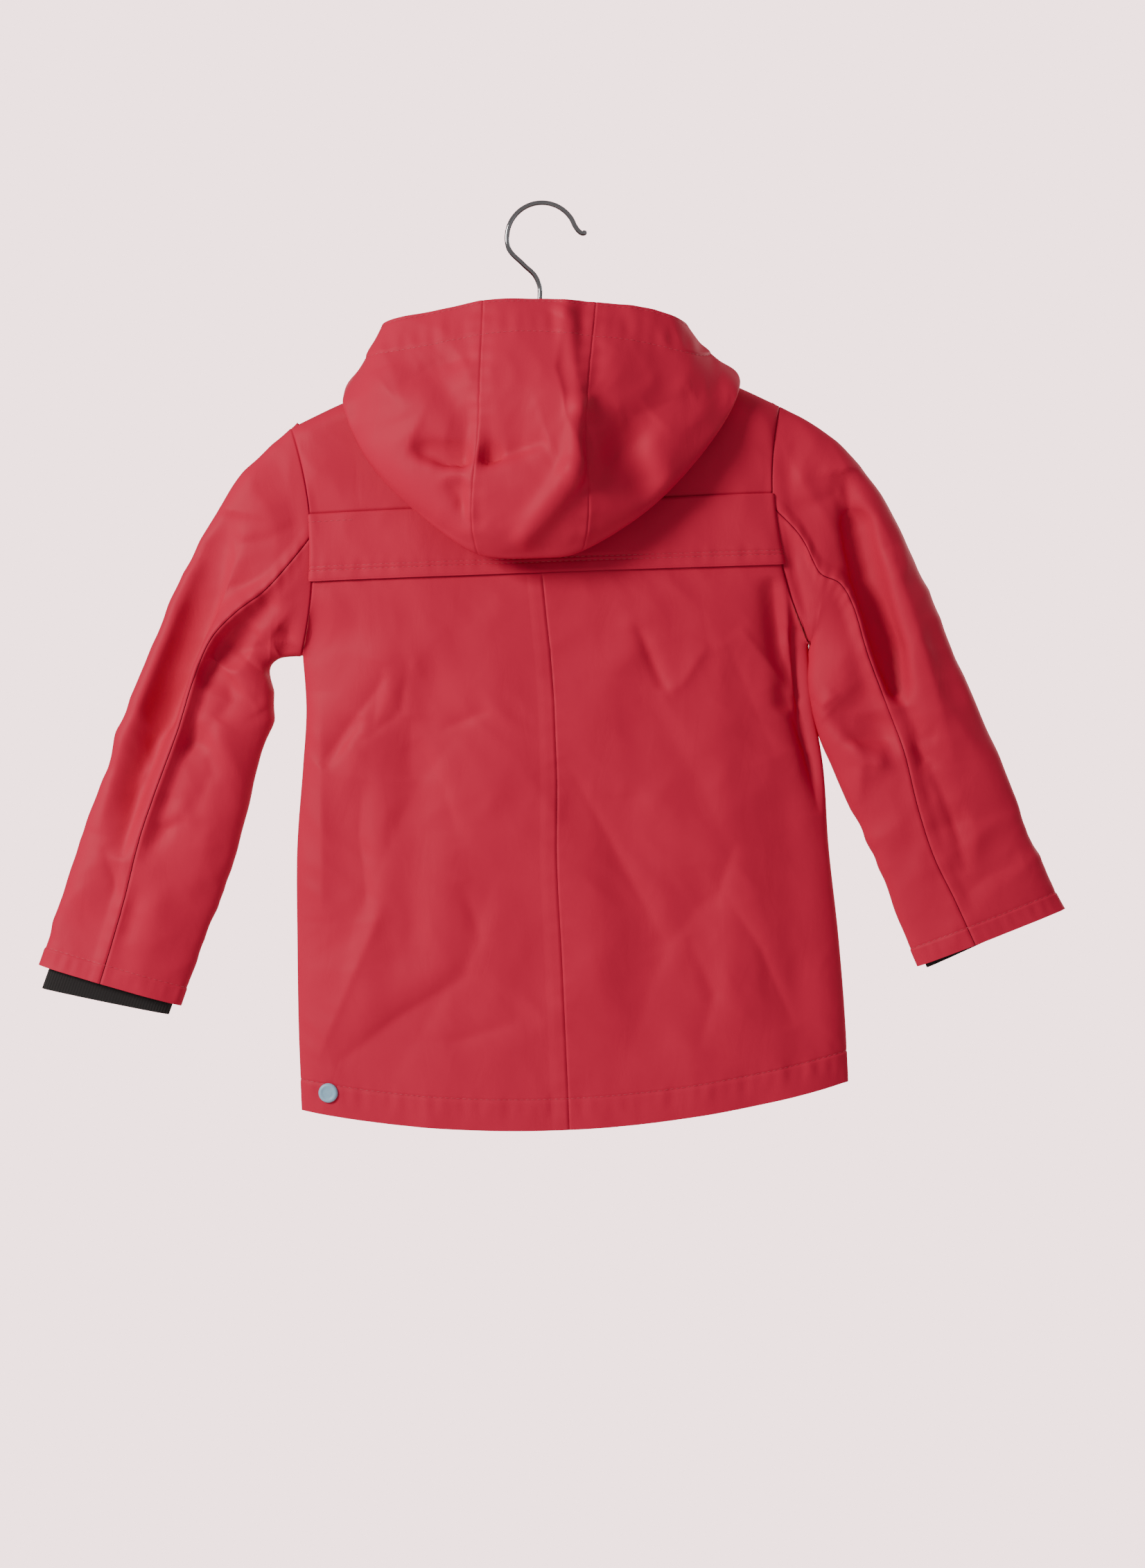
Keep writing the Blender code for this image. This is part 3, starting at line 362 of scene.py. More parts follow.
def hoodGrid(levels, turns):
    # level: 0 neck seam, 1 roll, 4 and 6 beside the pouch's fold, 5 the fold itself, 7 bulge, 8 rim
    knots = readRows(hood["profiles"], turns)
    fold, bulge, rim = knots[:, 0:3], knots[:, 3:6], knots[:, 6:9]
    angle = np.radians(turns)
    out = np.stack((-np.sin(angle), np.cos(angle), np.zeros_like(angle)), -1)
    up = np.array((0, 0, 1.0))
    x = body["neckX"] - body["neckHalfWidth"] * np.sin(angle)
    seam = np.arccos(1 - 2 * (x - shoulderTips[0]) / (shoulderTips[1] - shoulderTips[0])) / np.pi
    neck = np.where(np.cos(angle)[:, None] > 0, bodyPoint("front", seam, 3), bodyPoint("back", seam, 3))
    neck = neck + up * hood["neckLift"]
    roll = neck + out * hood["neckRoll"][0] + up * hood["neckRoll"][1]
    tuck = hood["pouchFold"] * lerp(hood["frontFold"], 1, (1 - np.cos(angle)) / 2)
    foldIn = clearOfBody(fold + (up - out) * tuck[:, None])
    foldOut = clearOfBody(fold + (up + out) * tuck[:, None], 2 * tuck)
    fold = clearOfBody(fold, tuck)
    upper, lower = (clearOfBody(lerp(roll, foldIn, share)) for share in (0.33, 0.67))
    bulge = clearOfBody(bulge, 2 * tuck)
    profile = np.stack((neck, roll, upper, lower, foldIn, fold, foldOut, bulge, rim), 1)
    # where the fold passes off the shoulder its lift stops at once; the cloth bridges that smoothly
    near = np.exp(-(((turns[:, None] - turns) / hood["bridge"]) ** 2))
    bridged = np.einsum("ij,jkl->ikl", near / near.sum(1, keepdims=True), profile)
    inside = fadeIn(np.minimum(turns - turns[0], turns[-1] - turns), 3 * hood["bridge"])[:, None, None]
    profile[:, 2:8] = lerp(profile, bridged, inside)[:, 2:8]
    grid = np.empty((len(levels), len(turns), 3))
    for column, points in enumerate(profile):
        lengths = np.linalg.norm(np.diff(points, axis=0), axis=1)
        marks = np.concatenate(([0], np.cumsum(lengths)))
        grid[:, column] = smoothAt(marks, points, np.interp(levels, range(len(marks)), marks))
    # the fold is one soft turn of the cloth, without a kink where it was lifted clear of the back
    pastFold = levels - hood["foldLevel"]
    share = fadeIn(1.5 - np.abs(pastFold[1:-1] - 0.5), 0.5)[:, None, None]
    for _ in range(hood["evened"]):
        grid[1:-1] = lerp(grid[1:-1], (grid[:-2] + 2 * grid[1:-1] + grid[2:]) / 4, share)
    grid[..., 1] -= relief(hood["folds"], grid[..., 0], grid[..., 2]) * np.clip(pastFold, 0, 1)[:, None]
    return grid


def gridNormals(points, closed=False):
    # closed means that the columns run all round a tube
    if closed:
        across = np.roll(points, -1, 1) - np.roll(points, 1, 1)
    else:
        across = np.gradient(points, axis=1)
    normal = np.cross(np.gradient(points, axis=0), across)
    return normal / np.maximum(np.linalg.norm(normal, axis=-1, keepdims=True), 1e-12)


def edgeDistances(points):
    # how far each point of a grid lies from the four edges, measured along the cloth
    across = np.linalg.norm(np.diff(points, axis=1), axis=2)
    up = np.linalg.norm(np.diff(points, axis=0), axis=2)
    left = np.pad(np.cumsum(across, 1), ((0, 0), (1, 0)))
    low = np.pad(np.cumsum(up, 0), ((1, 0), (0, 0)))
    return {"left": left, "right": left[:, -1:] - left, "low": low, "high": low[-1:] - low}


def ridge(distance, at, width, height):
    return height * np.exp(-(((distance - at) / width) ** 2))


def raised(distance, upTo, soft, height):
    # one more layer of cloth from an edge up to a distance
    return height * 0.5 * (1 - np.tanh((distance - upTo) / soft))


def pucker(along, away, width, height, pitch=0.011):
    # the cloth drawn up unevenly along a row of stitches
    wave = np.sin(along * 2 * np.pi / pitch) + 0.7 * np.sin(along * 2 * np.pi / (pitch * 1.618) + 1.3)
    return height * wave * np.exp(-((away / width) ** 2))


handling = {
    "sets": 7,  # sets of folds laid over one another
    "lean": 0.5,  # radians, how far they lean from upright
    "sizes": (0.8, 2.0),  # share of the size asked for
    "bend": 0.35,  # how far a crest swings, as a share of its size
    "swings": (1.7, 0.9),
    "patchLength": 0.37,  # under 1, a patch of folds is longer than it is wide
    "patchCover": 0.2,  # how far the patches reach into one another
    "patchFall": 1.5,
    "crest": 0.012,  # how blunt the crests are
    "level": 2.5,  # what the sets add up to
}


def crumple(x, z, size, height, seed):
    # patches of folds that hang mostly upright, with crisp crests and soft troughs
    random = np.random.default_rng(seed)
    bend, (slow, slanted) = size * handling["bend"], handling["swings"]
    warped = x + bend * np.sin(z / size * slow + random.uniform(0, 6))
    warped = warped + bend * np.sin((x + z) / size * slanted)
    total = np.zeros_like(x)
    for _ in range(handling["sets"]):
        angle = random.normal(0, handling["lean"])
        wave = 2 * np.pi / (size * random.uniform(*handling["sizes"]))
        phase = wave * (warped * np.cos(angle) + z * np.sin(angle)) + random.uniform(0, 6)
        along = z * np.cos(angle) - x * np.sin(angle)
        across = wave * handling["patchLength"] * along + random.uniform(0, 6)
        patch = np.clip(np.sin(across) + handling["patchCover"], 0, None) ** handling["patchFall"]
        total += (1 - 2 * np.sqrt(np.sin(phase / 2) ** 2 + handling["crest"])) * patch
    return height * total / handling["level"]


closeMarks = np.array((-0.0016, -0.0008, -0.0003, 0, 0.0003, 0.0008, 0.0016))
clearedMarks = 0.002


def evenly(low, high, length, step, fromLow=(), fromHigh=()):
    # parameters from low to high about a step apart, and closer around the given distances from each end
    marks = np.linspace(0, length, max(round(length / step), 2) + 1)
    for centre in [*fromLow, *(length - at for at in fromHigh)]:
        marks = np.concatenate((marks[np.abs(marks - centre) > clearedMarks], centre + closeMarks))
    return low + (high - low) * np.unique(np.clip(marks, 0, length)) / length


def shellMesh(name, outside, inside, closed=False):
    # a wall between two grids: the outside and the rims wear the first material, the inside the second
    rows, columns = outside.shape[:2]
    count = rows * columns
    index = np.arange(count).reshape(rows, columns)
    if closed:
        index = np.concatenate((index, index[:, :1]), axis=1)
    corners = (index[:-1, :-1], index[1:, :-1], index[1:, 1:], index[:-1, 1:])
    outer = np.stack(corners, -1).reshape(-1, 4)
    inner = outer[:, ::-1] + count
    rims = []
    sides = () if closed else (index[:, 0], index[::-1, -1])
    for edge in (index[0, ::-1], index[-1], *sides):
        rims.append(np.stack((edge[:-1], edge[1:], edge[1:] + count, edge[:-1] + count), -1)[:, ::-1])
    rims = np.concatenate(rims)
    faces = np.concatenate((outer, inner, rims))
    mesh = bpy.data.meshes.new(name)
    mesh.from_pydata(np.concatenate((outside.reshape(-1, 3), inside.reshape(-1, 3))), [], faces.tolist())
    mesh.polygons.foreach_set("use_smooth", np.ones(len(faces), bool))
    finish = np.zeros(len(faces), int)
    finish[len(outer) : len(outer) + len(inner)] = 1
    mesh.polygons.foreach_set("material_index", finish)
    mesh.set_sharp_from_angle(angle=math.radians(60))
    return mesh


def linear(colour):
    channels = [int(colour[i : i + 2], 16) / 255 for i in (1, 3, 5)]
    return tuple(c / 12.92 if c <= 0.04045 else ((c + 0.055) / 1.055) ** 2.4 for c in channels) + (1.0,)


def addNode(tree, kind, sockets=None, **settings):
    # a node with its settings, and each socket (by name or number) set to a value or linked to an output
    node = tree.nodes.new(kind)
    for name, value in settings.items():
        setattr(node, name, value)
    for socket, value in (sockets or {}).items():
        if isinstance(value, bpy.types.NodeSocket):
            tree.links.new(value, node.inputs[socket])
        else:
            node.inputs[socket].default_value = value
    return node


def newMaterial(name, sockets):
    made = bpy.data.materials.new(name)
    made.use_nodes = True
    shader = made.node_tree.nodes["Principled BSDF"]
    for socket, value in sockets.items():
        shader.inputs[socket].default_value = value
    place = addNode(made.node_tree, "ShaderNodeTexCoord").outputs["Object"]
    return made, made.node_tree, shader, place


def mottle(tree, shader, amount, shades):
    # the colour goes from one shade to the other by an amount
    sockets = {"Fac": amount, "Color1": linear(shades[0]), "Color2": linear(shades[1])}
    mixed = addNode(tree, "ShaderNodeMixRGB", sockets)
    tree.links.new(mixed.outputs[0], shader.inputs["Base Color"])


def unevenGloss(tree, shader, amount, low, high):
    rough = addNode(tree, "ShaderNodeMapRange", {"Value": amount, "To Min": low, "To Max": high})
    tree.links.new(rough.outputs["Result"], shader.inputs["Roughness"])


def emboss(tree, shader, *layers):
    # bumps laid over one another: a height map, its height in metres and its strength
    below = {}
    for amount, height, strength in layers:
        sockets = {"Strength": strength, "Distance": height, "Height": amount, **below}
        bump = addNode(tree, "ShaderNodeBump", sockets)
        below = {"Normal": bump.outputs["Normal"]}
    tree.links.new(below["Normal"], shader.inputs["Normal"])


coatedKnit = {
    "shades": ("#BA2140", "#C62645"),
    "shadeMm": 71.43,
    "roughness": (0.51, 0.61),
    "specular": 0.10,
    "grainMm": 0.9,  # the pores of the coating, drawn coarser than they are so that they show
    "grainHeight": 0.00003,
    "wrinkleMm": 22.0,
    "wrinkleStretch": 0.45,  # under 1, the wrinkles run longer up and down
    "wrinkleHeight": 0.00045,
}


def coatedFabric():
    # polyurethane-coated polyester knit: a smooth satin skin with a fine pored grain and soft wrinkles
    finish = {"IOR": 1.5, "Specular IOR Level": coatedKnit["specular"]}
    made, tree, shader, place = newMaterial("puCoatedKnit", finish)
    sockets = {"Vector": place, "Scale": 1000 / coatedKnit["shadeMm"], "Detail": 3.0}
    broad = addNode(tree, "ShaderNodeTexNoise", sockets).outputs["Fac"]
    mottle(tree, shader, broad, coatedKnit["shades"])
    unevenGloss(tree, shader, broad, *coatedKnit["roughness"])
    stretch = {"Vector": place, "Scale": (1.0, 1.0, coatedKnit["wrinkleStretch"])}
    stretched = addNode(tree, "ShaderNodeMapping", stretch).outputs["Vector"]
    sockets = {"Vector": stretched, "Scale": 1000 / coatedKnit["wrinkleMm"], "Detail": 3.0, "Roughness": 0.45}
    wrinkle = addNode(tree, "ShaderNodeTexNoise", {**sockets, "Distortion": 0.8}).outputs["Fac"]
    pores = {"Vector": place, "Scale": 1000 / coatedKnit["grainMm"]}
    grain = addNode(tree, "ShaderNodeTexVoronoi", pores, feature="SMOOTH_F1").outputs["Distance"]
    soft, fine = (wrinkle, coatedKnit["wrinkleHeight"], 1.0), (grain, coatedKnit["grainHeight"], 0.6)
    emboss(tree, shader, soft, fine)
    return made


knitBack = {"shades": ("#8E1F2E", "#A92B3B"), "roughness": 0.9, "waleMm": 1.0, "waleHeight": 0.0002}


def knitBacking():
    # the uncoated knit on the inside: the same dye, matt, with wales about a millimetre apart
    made, tree, shader, place = newMaterial("polyesterKnitBacking", {"Roughness": knitBack["roughness"]})
    bands = 1000 / knitBack["waleMm"] / (2 * math.pi)
    sockets = {"Vector": place, "Scale": bands, "Distortion": 0.6, "Detail": 1.0}
    wales = addNode(tree, "ShaderNodeTexWave", sockets, bands_direction="X").outputs["Fac"]
    mottle(tree, shader, wales, knitBack["shades"])
    emboss(tree, shader, (wales, knitBack["waleHeight"], 0.5))
    return made


polyester = {"shades": ("#B02744", "#CC4058"), "roughness": 0.5, "twistMm": 0.6667}


def sewingThread():
    # polyester thread, a shade warmer than the cloth, lighter and darker along its twist
    made, tree, shader, place = newMaterial("polyesterThread", {"Roughness": polyester["roughness"]})
    sockets = {"Vector": place, "Scale": 1000 / polyester["twistMm"], "Detail": 1.0}
    mottle(tree, shader, addNode(tree, "ShaderNodeTexNoise", sockets).outputs["Fac"], polyester["shades"])
    return made


cottonRib = {
    "shades": ("#0C0A0B", "#1A1618"),
    "finish": {"Roughness": 0.92, "Sheen Weight": 0.08, "Sheen Roughness": 0.6},
    "fibreMm": 1.1111,
    "fibreHeight": 0.00025,
}


def ribKnit():
    # black cotton and elastane rib: matt, with a faint bloom of loose fibre
    made, tree, shader, place = newMaterial("cottonRibKnit", cottonRib["finish"])
    sockets = {"Vector": place, "Scale": 1000 / cottonRib["fibreMm"], "Detail": 2.0}
    fibre = addNode(tree, "ShaderNodeTexNoise", sockets).outputs["Fac"]
    mottle(tree, shader, fibre, cottonRib["shades"])
    emboss(tree, shader, (fibre, cottonRib["fibreHeight"], 0.6))
    return made


enamel = {"shades": ("#86B2CF", "#9CC4DC"), "roughness": 0.38, "poolMm": 3.846, "poolHeight": 0.00008}


def paintedCap():
    # baked enamel on a pressed brass cap: smooth, satin, slightly uneven where it pooled
    made, tree, shader, place = newMaterial("enamelledBrassCap", {"Roughness": enamel["roughness"]})
    sockets = {"Vector": place, "Scale": 1000 / enamel["poolMm"], "Detail": 2.0}
    pooled = addNode(tree, "ShaderNodeTexNoise", sockets).outputs["Fac"]
    mottle(tree, shader, pooled, enamel["shades"])
    emboss(tree, shader, (pooled, enamel["poolHeight"], 0.3))
    return made


# the rim colour is painted shade: a near-black edge tint that darkens the wire's rims in place of dark
# reflections
chrome = {"shades": ("#8E9195", "#A4A7AB"), "rim": "#0C0C0D", "roughness": (0.07, 0.16), "hazeMm": 2.5}


def chromedWire():
    # drawn steel wire, bright chrome plated: a hard mirror that reflects less at its rims, slightly hazed;
    # the dark rims are painted shade, a near-black edge tint standing in for dark reflections
    finish = {"Metallic": 1.0, "Specular Tint": linear(chrome["rim"])}
    made, tree, shader, place = newMaterial("chromePlatedWire", finish)
    sockets = {"Vector": place, "Scale": 1000 / chrome["hazeMm"], "Detail": 2.0}
    haze = addNode(tree, "ShaderNodeTexNoise", sockets).outputs["Fac"]
    unevenGloss(tree, shader, haze, *chrome["roughness"])
    mottle(tree, shader, haze, chrome["shades"])
    return made


beech = {
    "shades": ("#B98A5C", "#D9B489"),
    "roughness": 0.42,
    "grainMm": 2.381,
    "grainStretch": 0.06,  # under 1, the grain is drawn out along the bar
    "grainHeight": 0.0001,
}


def lacqueredBeech():
    # planed beech under clear lacquer: straight pale grain along the bar, with short dark flecks
    made, tree, shader, place = newMaterial("lacqueredBeech", {"Roughness": beech["roughness"]})
    stretch = {"Vector": place, "Scale": (beech["grainStretch"], 1.0, 1.0)}
    drawn = addNode(tree, "ShaderNodeMapping", stretch).outputs["Vector"]
    sockets = {"Vector": drawn, "Scale": 1000 / beech["grainMm"], "Detail": 4.0, "Distortion": 0.4}
    grain = addNode(tree, "ShaderNodeTexNoise", sockets).outputs["Fac"]
    mottle(tree, shader, grain, beech["shades"])
    emboss(tree, shader, (grain, beech["grainHeight"], 0.25))
    return made


redCloth, thread = (coatedFabric(), knitBacking()), sewingThread()
print("cloth and thread made")

panels = {}  # each piece's grid, so that seams and snaps can follow it


def addPiece(name, mesh, slot, *nodes):
    piece = bpy.data.objects.new(name, mesh)
    bpy.context.scene.collection.objects.link(piece)
    if nodes:
        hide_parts(*nodes)
    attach(piece, "root")
    return piece


def makePanel(name, node, rows, columns, base, form, facing, finishes=redCloth, rib=False, creased=None):
    # facing is a row share, a column share and a direction that the outside faces there, and creased is the
    # level where the cloth turns back on itself; rib knit is a closed tube
    row, column = int(facing[0] * (len(rows) - 1)), int(facing[1] * (len(columns) - 1))
    normal = gridNormals(base, rib)
    sign = 1 if normal[row, column] @ np.array(facing[2]) > 0 else -1
    level, turn = np.meshgrid(rows, columns, indexing="ij")
    outside = base + normal * (sign * form(base, edgeDistances(base), level, turn))[..., None]
    normal = gridNormals(outside, rib) * sign
    edges = edgeDistances(outside)
    thickness = np.full(level.shape, cloth["thickness"])
    if not rib:  # a sewn side is pressed thin
        beside = np.minimum(edges["left"], edges["right"])
        thickness *= lerp(cloth["pressed"], 1, fadeIn(beside, cloth["pressedWidth"]))
    if creased is not None:
        thickness *= lerp(cloth["pressed"], 1, fadeIn(np.abs(level - creased), cloth["creasedLevels"]))
    inside = outside - normal * thickness[..., None]
    order = slice(None) if sign > 0 else slice(None, None, -1)
    mesh = shellMesh(name, outside[:, order], inside[:, order], rib)
    piece = addPiece(name, mesh, "rib_knit_black" if rib else "coated_fabric_red", node)
    for finish in finishes:
        piece.data.materials.append(finish)
    panels[name] = {
        "rows": np.asarray(rows, float),
        "columns": np.asarray(columns, float),
        "outside": outside,
        "normal": normal,
        "edges": edges,
    }
    return piece


def placeOn(name, row, column):
    # the nearest grid point of a panel to a row and a column, and the way it faces
    panel = panels[name]
    i = np.abs(panel["rows"] - row).argmin()
    j = np.abs(panel["columns"] - column).argmin()
    return Vector(panel["outside"][i, j]), Vector(panel["normal"][i, j])


def followEdge(name, edge, distance, end=1.0):
    # a stitched line on a panel at a fixed distance from an edge, up to a share of that edge's length
    panel = panels[name]
    away, outside, normal = panel["edges"][edge], panel["outside"], panel["normal"]
    if edge in ("left", "right"):
        away, outside, normal = away.T, np.swapaxes(outside, 0, 1), np.swapaxes(normal, 0, 1)
    line = []
    for column in range(away.shape[1]):
        if column / (away.shape[1] - 1) > end:
            break
        order = slice(None) if away[0, column] <= away[-1, column] else slice(None, None, -1)
        at = np.interp(distance, away[order, column], np.arange(len(away))[order])
        low = min(int(at), len(away) - 2)
        point = lerp(outside[low, column], outside[low + 1, column], at - low)
        line.append(point + normal[low, column] * stitches["lift"])
    return line


stitches = {
    "Length": 0.0032,
    "Pitch": 0.0043,
    "Radius": 0.00026,
    "lift": 0.00005,  # how far the thread's middle lies over the cloth's face
}
stitchSizes = ("Pitch", "Length", "Radius")  # the tree's inputs


def stitchTree(thread):
    # a thread along each curve: evenly spaced short capsules, each lying along it
    tree = bpy.data.node_groups.new("stitchRow", "GeometryNodeTree")
    face = tree.interface
    face.new_socket("Geometry", in_out="INPUT", socket_type="NodeSocketGeometry")
    for name in stitchSizes:
        face.new_socket(name, in_out="INPUT", socket_type="NodeSocketFloat")
    face.new_socket("Geometry", in_out="OUTPUT", socket_type="NodeSocketGeometry")
    given = addNode(tree, "NodeGroupInput").outputs
    along = {"Curve": given["Geometry"], "Length": given["Pitch"]}
    spots = addNode(tree, "GeometryNodeCurveToPoints", along, mode="LENGTH").outputs
    half = addNode(tree, "ShaderNodeMath", {0: given["Length"], 1: 0.5}, operation="MULTIPLY")
    axes = {"X": given["Radius"], "Y": given["Radius"], "Z": half.outputs[0]}
    size = addNode(tree, "ShaderNodeCombineXYZ", axes).outputs["Vector"]
    ball = addNode(tree, "GeometryNodeMeshUVSphere", {"Segments": 6, "Rings": 6, "Radius": 1.0})
    placed = {"Points": spots["Points"], "Rotation": spots["Rotation"], "Scale": size}
    placed["Instance"] = ball.outputs["Mesh"]
    sewn = addNode(tree, "GeometryNodeInstanceOnPoints", placed).outputs["Instances"]
    real = addNode(tree, "GeometryNodeRealizeInstances", {"Geometry": sewn}).outputs["Geometry"]
    smooth = addNode(tree, "GeometryNodeSetShadeSmooth", {"Geometry": real}).outputs["Geometry"]
    dressed = addNode(tree, "GeometryNodeSetMaterial", {"Geometry": smooth, "Material": thread})
    addNode(tree, "NodeGroupOutput", {"Geometry": dressed.outputs["Geometry"]})
    return tree


def sew(name, tree, lines):
    # one piece that holds the stitches along several lines
    curve = bpy.data.curves.new(name + "Line", "CURVE")
    curve.dimensions = "3D"
    for line in lines:
        spline = curve.splines.new("POLY")
        spline.points.add(len(line) - 1)
        for point, place in zip(spline.points, line):
            point.co = (*place, 1)
    guide = bpy.data.objects.new(name + "Line", curve)
    bpy.context.scene.collection.objects.link(guide)
    modifier = guide.modifiers.new("stitches", "NODES")
    modifier.node_group = tree
    sockets = {item.name: item.identifier for item in tree.interface.items_tree if item.in_out == "INPUT"}
    for size in stitchSizes:
        modifier[sockets[size]] = stitches[size]
    evaluated = guide.evaluated_get(bpy.context.evaluated_depsgraph_get())
    mesh = bpy.data.meshes.new_from_object(evaluated)
    bpy.data.objects.remove(guide)
    bpy.data.curves.remove(curve)
    return addPiece(name, mesh, "coated_fabric_red")


back = {
    "seamLength": 0.335,  # along the cloth from the hem to the underarm, and the other lengths beside it
    "armholeLength": 0.113,
    "yokeLength": 0.115,
    "flapLength": 0.055,
    "halfWidths": (0.22, 0.23),
    "yokeWidth": 0.41,
    "flapWidth": 0.37,
    "topEnd": 0.99,  # the yoke ends just short of the shoulder line
    "turnedEdge": 0.0006,
    "waves": ((0.070, 0.0015, 5), (0.030, 0.0005, 6)),  # size, height, seed
    "sideFade": 0.09,  # folds die away over this share of a turn at the sides, and of a level at the top
    "topFade": 0.2,
    "roll": -0.0008,  # depth of the groove where two edges are sewn
    "sideRoll": -0.0005,
    "hem": 0.0235,
    "hemRise": 0.0003,
    "drawnIn": 0.006,  # the hem is drawn up most this far below its stitches
    "hemPucker": (0.008, 0.00022),  # width, height, pitch where it isn't the usual one
    "seamPucker": (0.007, 0.00015, 0.014),
    "flapPucker": (0.006, 0.00018),
    "allowance": 0.0100,  # width of the pressed allowance beside the centre seam
    "allowanceRise": 0.0005,
    "strokes": (  # height, left width, right width, sharpness, then the path
        (-0.00272, 0.0044, 0.008, 1.4, (-0.1342, -0.3844), (-0.1626, -0.4226)),
        (-0.00238, 0.0066, 0.012, 1.4, (-0.1183, -0.3437), (-0.1280, -0.3973)),
        (-0.00272, 0.0099, 0.018, 1.4, (-0.0982, -0.3844), (-0.0982, -0.4318)),
        (-0.00153, 0.0033, 0.006, 1.4, (-0.0394, -0.3798), (-0.0760, -0.3942)),
        (0.00306, 0.0099, 0.018, 1.4, (-0.1657, -0.3669), (-0.1646, -0.5369)),
        (-0.00272, 0.0154, 0.028, 1.4, (-0.1296, -0.3978), (-0.1347, -0.5730)),
        (-0.00272, 0.0055, 0.01, 1.4, (0.0724, -0.3169), (0.0904, -0.3654)),
        (0.00153, 0.0132, 0.024, 1.4, (0.0507, -0.3566), (0.0610, -0.4442)),
        (-0.00238, 0.0099, 0.018, 1.4, (0.1383, -0.3309), (0.1744, -0.4133)),
        (-0.00374, 0.0055, 0.01, 1.4, (0.1888, -0.3154), (0.1975, -0.4081)),
        (0.0017, 0.0176, 0.032, 1.4, (-0.0729, -0.4699), (-0.0678, -0.6245)),
        (-0.00204, 0.0198, 0.036, 1.4, (0.1177, -0.4957), (0.1331, -0.6451)),
        (-0.0055, 0.012, 0.006, 1.5, (0.1875, -0.2898), (0.1896, -0.3310), (0.1937, -0.3722),
         (0.2009, -0.4082), (0.2127, -0.4442)),
        (0.0022, 0.006, 0.01, 1.4, (0.1805, -0.2747), (0.1841, -0.3158), (0.1780, -0.3569)),
        (-0.0016, 0.01, 0.022, 1.5, (-0.0416, -0.3674), (-0.0927, -0.4339), (-0.1413, -0.5362),
         (-0.1592, -0.6232)),
        (-0.0014, 0.01, 0.02, 1.5, (0.0761, -0.3674), (0.1170, -0.4339), (0.1529, -0.5209)),
        (0.0014, 0.01, 0.018, 1.5, (-0.0723, -0.3162), (-0.1132, -0.3674), (-0.1541, -0.4441)),
        (-0.0014, 0.008, 0.016, 1.5, (0.1426, -0.4953), (0.0915, -0.5567), (0.0608, -0.6437)),
        (-0.0012, 0.008, 0.016, 1.5, (-0.0313, -0.4953), (-0.0620, -0.5720), (-0.1132, -0.6539)),
        (0.0014, 0.012, 0.008, 1.5, (0.0633, -0.3060), (0.0838, -0.3623), (0.1222, -0.4134)),
        (-0.0024, 0.005, 0.008, 1.2, (0.0690, -0.3136), (0.0795, -0.3345), (0.0954, -0.3702)),
        (0.002, 0.004, 0.01, 1.2, (0.1235, -0.3303), (0.1047, -0.3597), (0.0879, -0.3702)),
        (0.0022, 0.005, 0.012, 1.2, (0.1466, -0.3177), (0.1793, -0.3576), (0.1894, -0.3849)),
        (-0.003, 0.006, 0.018, 1.2, (0.0145, -0.4142), (0.0501, -0.4730), (0.0732, -0.5191),
         (0.0921, -0.5569)),
        (-0.0024, 0.005, 0.013, 1.2, (0.1319, -0.5107), (0.1634, -0.5569), (0.1886, -0.6156)),
        (-0.0018, 0.006, 0.01, 1.3, (0.1445, -0.4772), (0.1340, -0.5065), (0.1277, -0.5275)),
        (-0.0024, 0.005, 0.009, 1.2, (-0.1156, -0.3534), (-0.1450, -0.3912), (-0.1659, -0.4205)),
        (-0.002, 0.005, 0.009, 1.2, (-0.0988, -0.3387), (-0.1051, -0.3807), (-0.1387, -0.4059)),
        (-0.0018, 0.006, 0.012, 1.3, (-0.0946, -0.4017), (-0.0749, -0.4352), (-0.0590, -0.4814)),
        (-0.0026, 0.007, 0.014, 1.3, (-0.1345, -0.4310), (-0.1378, -0.4730), (-0.1282, -0.5359)),
        (0.0024, 0.006, 0.016, 1.2, (-0.1177, -0.5233), (-0.1450, -0.5863), (-0.1680, -0.6408)),
        (-0.0024, 0.012, 0.006, 1.2, (-0.0506, -0.5737), (-0.1051, -0.6072), (-0.1555, -0.6450)),
        (-0.0016, 0.008, 0.006, 1.3, (-0.0715, -0.6282), (-0.0170, -0.6114)),
        (-0.0018, 0.006, 0.01, 1.3, (-0.0590, -0.5065), (-0.0464, -0.5485), (-0.0632, -0.5863)),
        (-0.0018, 0.006, 0.01, 1.3, (0.1089, -0.5485), (0.1277, -0.5905), (0.1172, -0.6324)),
        (-0.005, 0.007, 0.01, 1.3, (0.1718, -0.2800), (0.1768, -0.3303), (0.1894, -0.3765)),
        (-0.004, 0.006, 0.01, 1.3, (0.1768, -0.3597), (0.2003, -0.4059), (0.2087, -0.4562)),
    ),
    "flapEdge": 1.525,
    "flapTrim": 0.006,
    "flapLift": (0.0004, 0.0016),  # at its seam and at its free edge
    "flapRows": (0.008, 0.011),
    "tackRow": 0.0062,  # a short row of stitches under the flap's seam, from the left armhole
    "tackEnd": 0.2,
    "sideGap": 0.0008,  # these gaps are shares of a turn or of a level
    "centreGap": -0.0002,
    "levelGap": 0.0014,
}


def waves(sizes, x, z):
    return sum(crumple(x, z, size, height, seed) for size, height, seed in sizes)


def insideEdges(level, turn):
    return fadeIn(np.minimum(turn, 1 - turn), back["sideFade"]) * fadeIn(3 - level, back["topFade"])


def backWave(base, level, turn):
    x, z = base[..., 0], base[..., 2]
    return (waves(back["waves"], x, z) + strokes(back["strokes"], x, z)) * insideEdges(level, turn)


def groove(distance, depth=back["roll"]):
    # two edges sewn together: the cloth rolls in over the last millimetre
    return ridge(distance, 0, cloth["rollWidth"], depth)


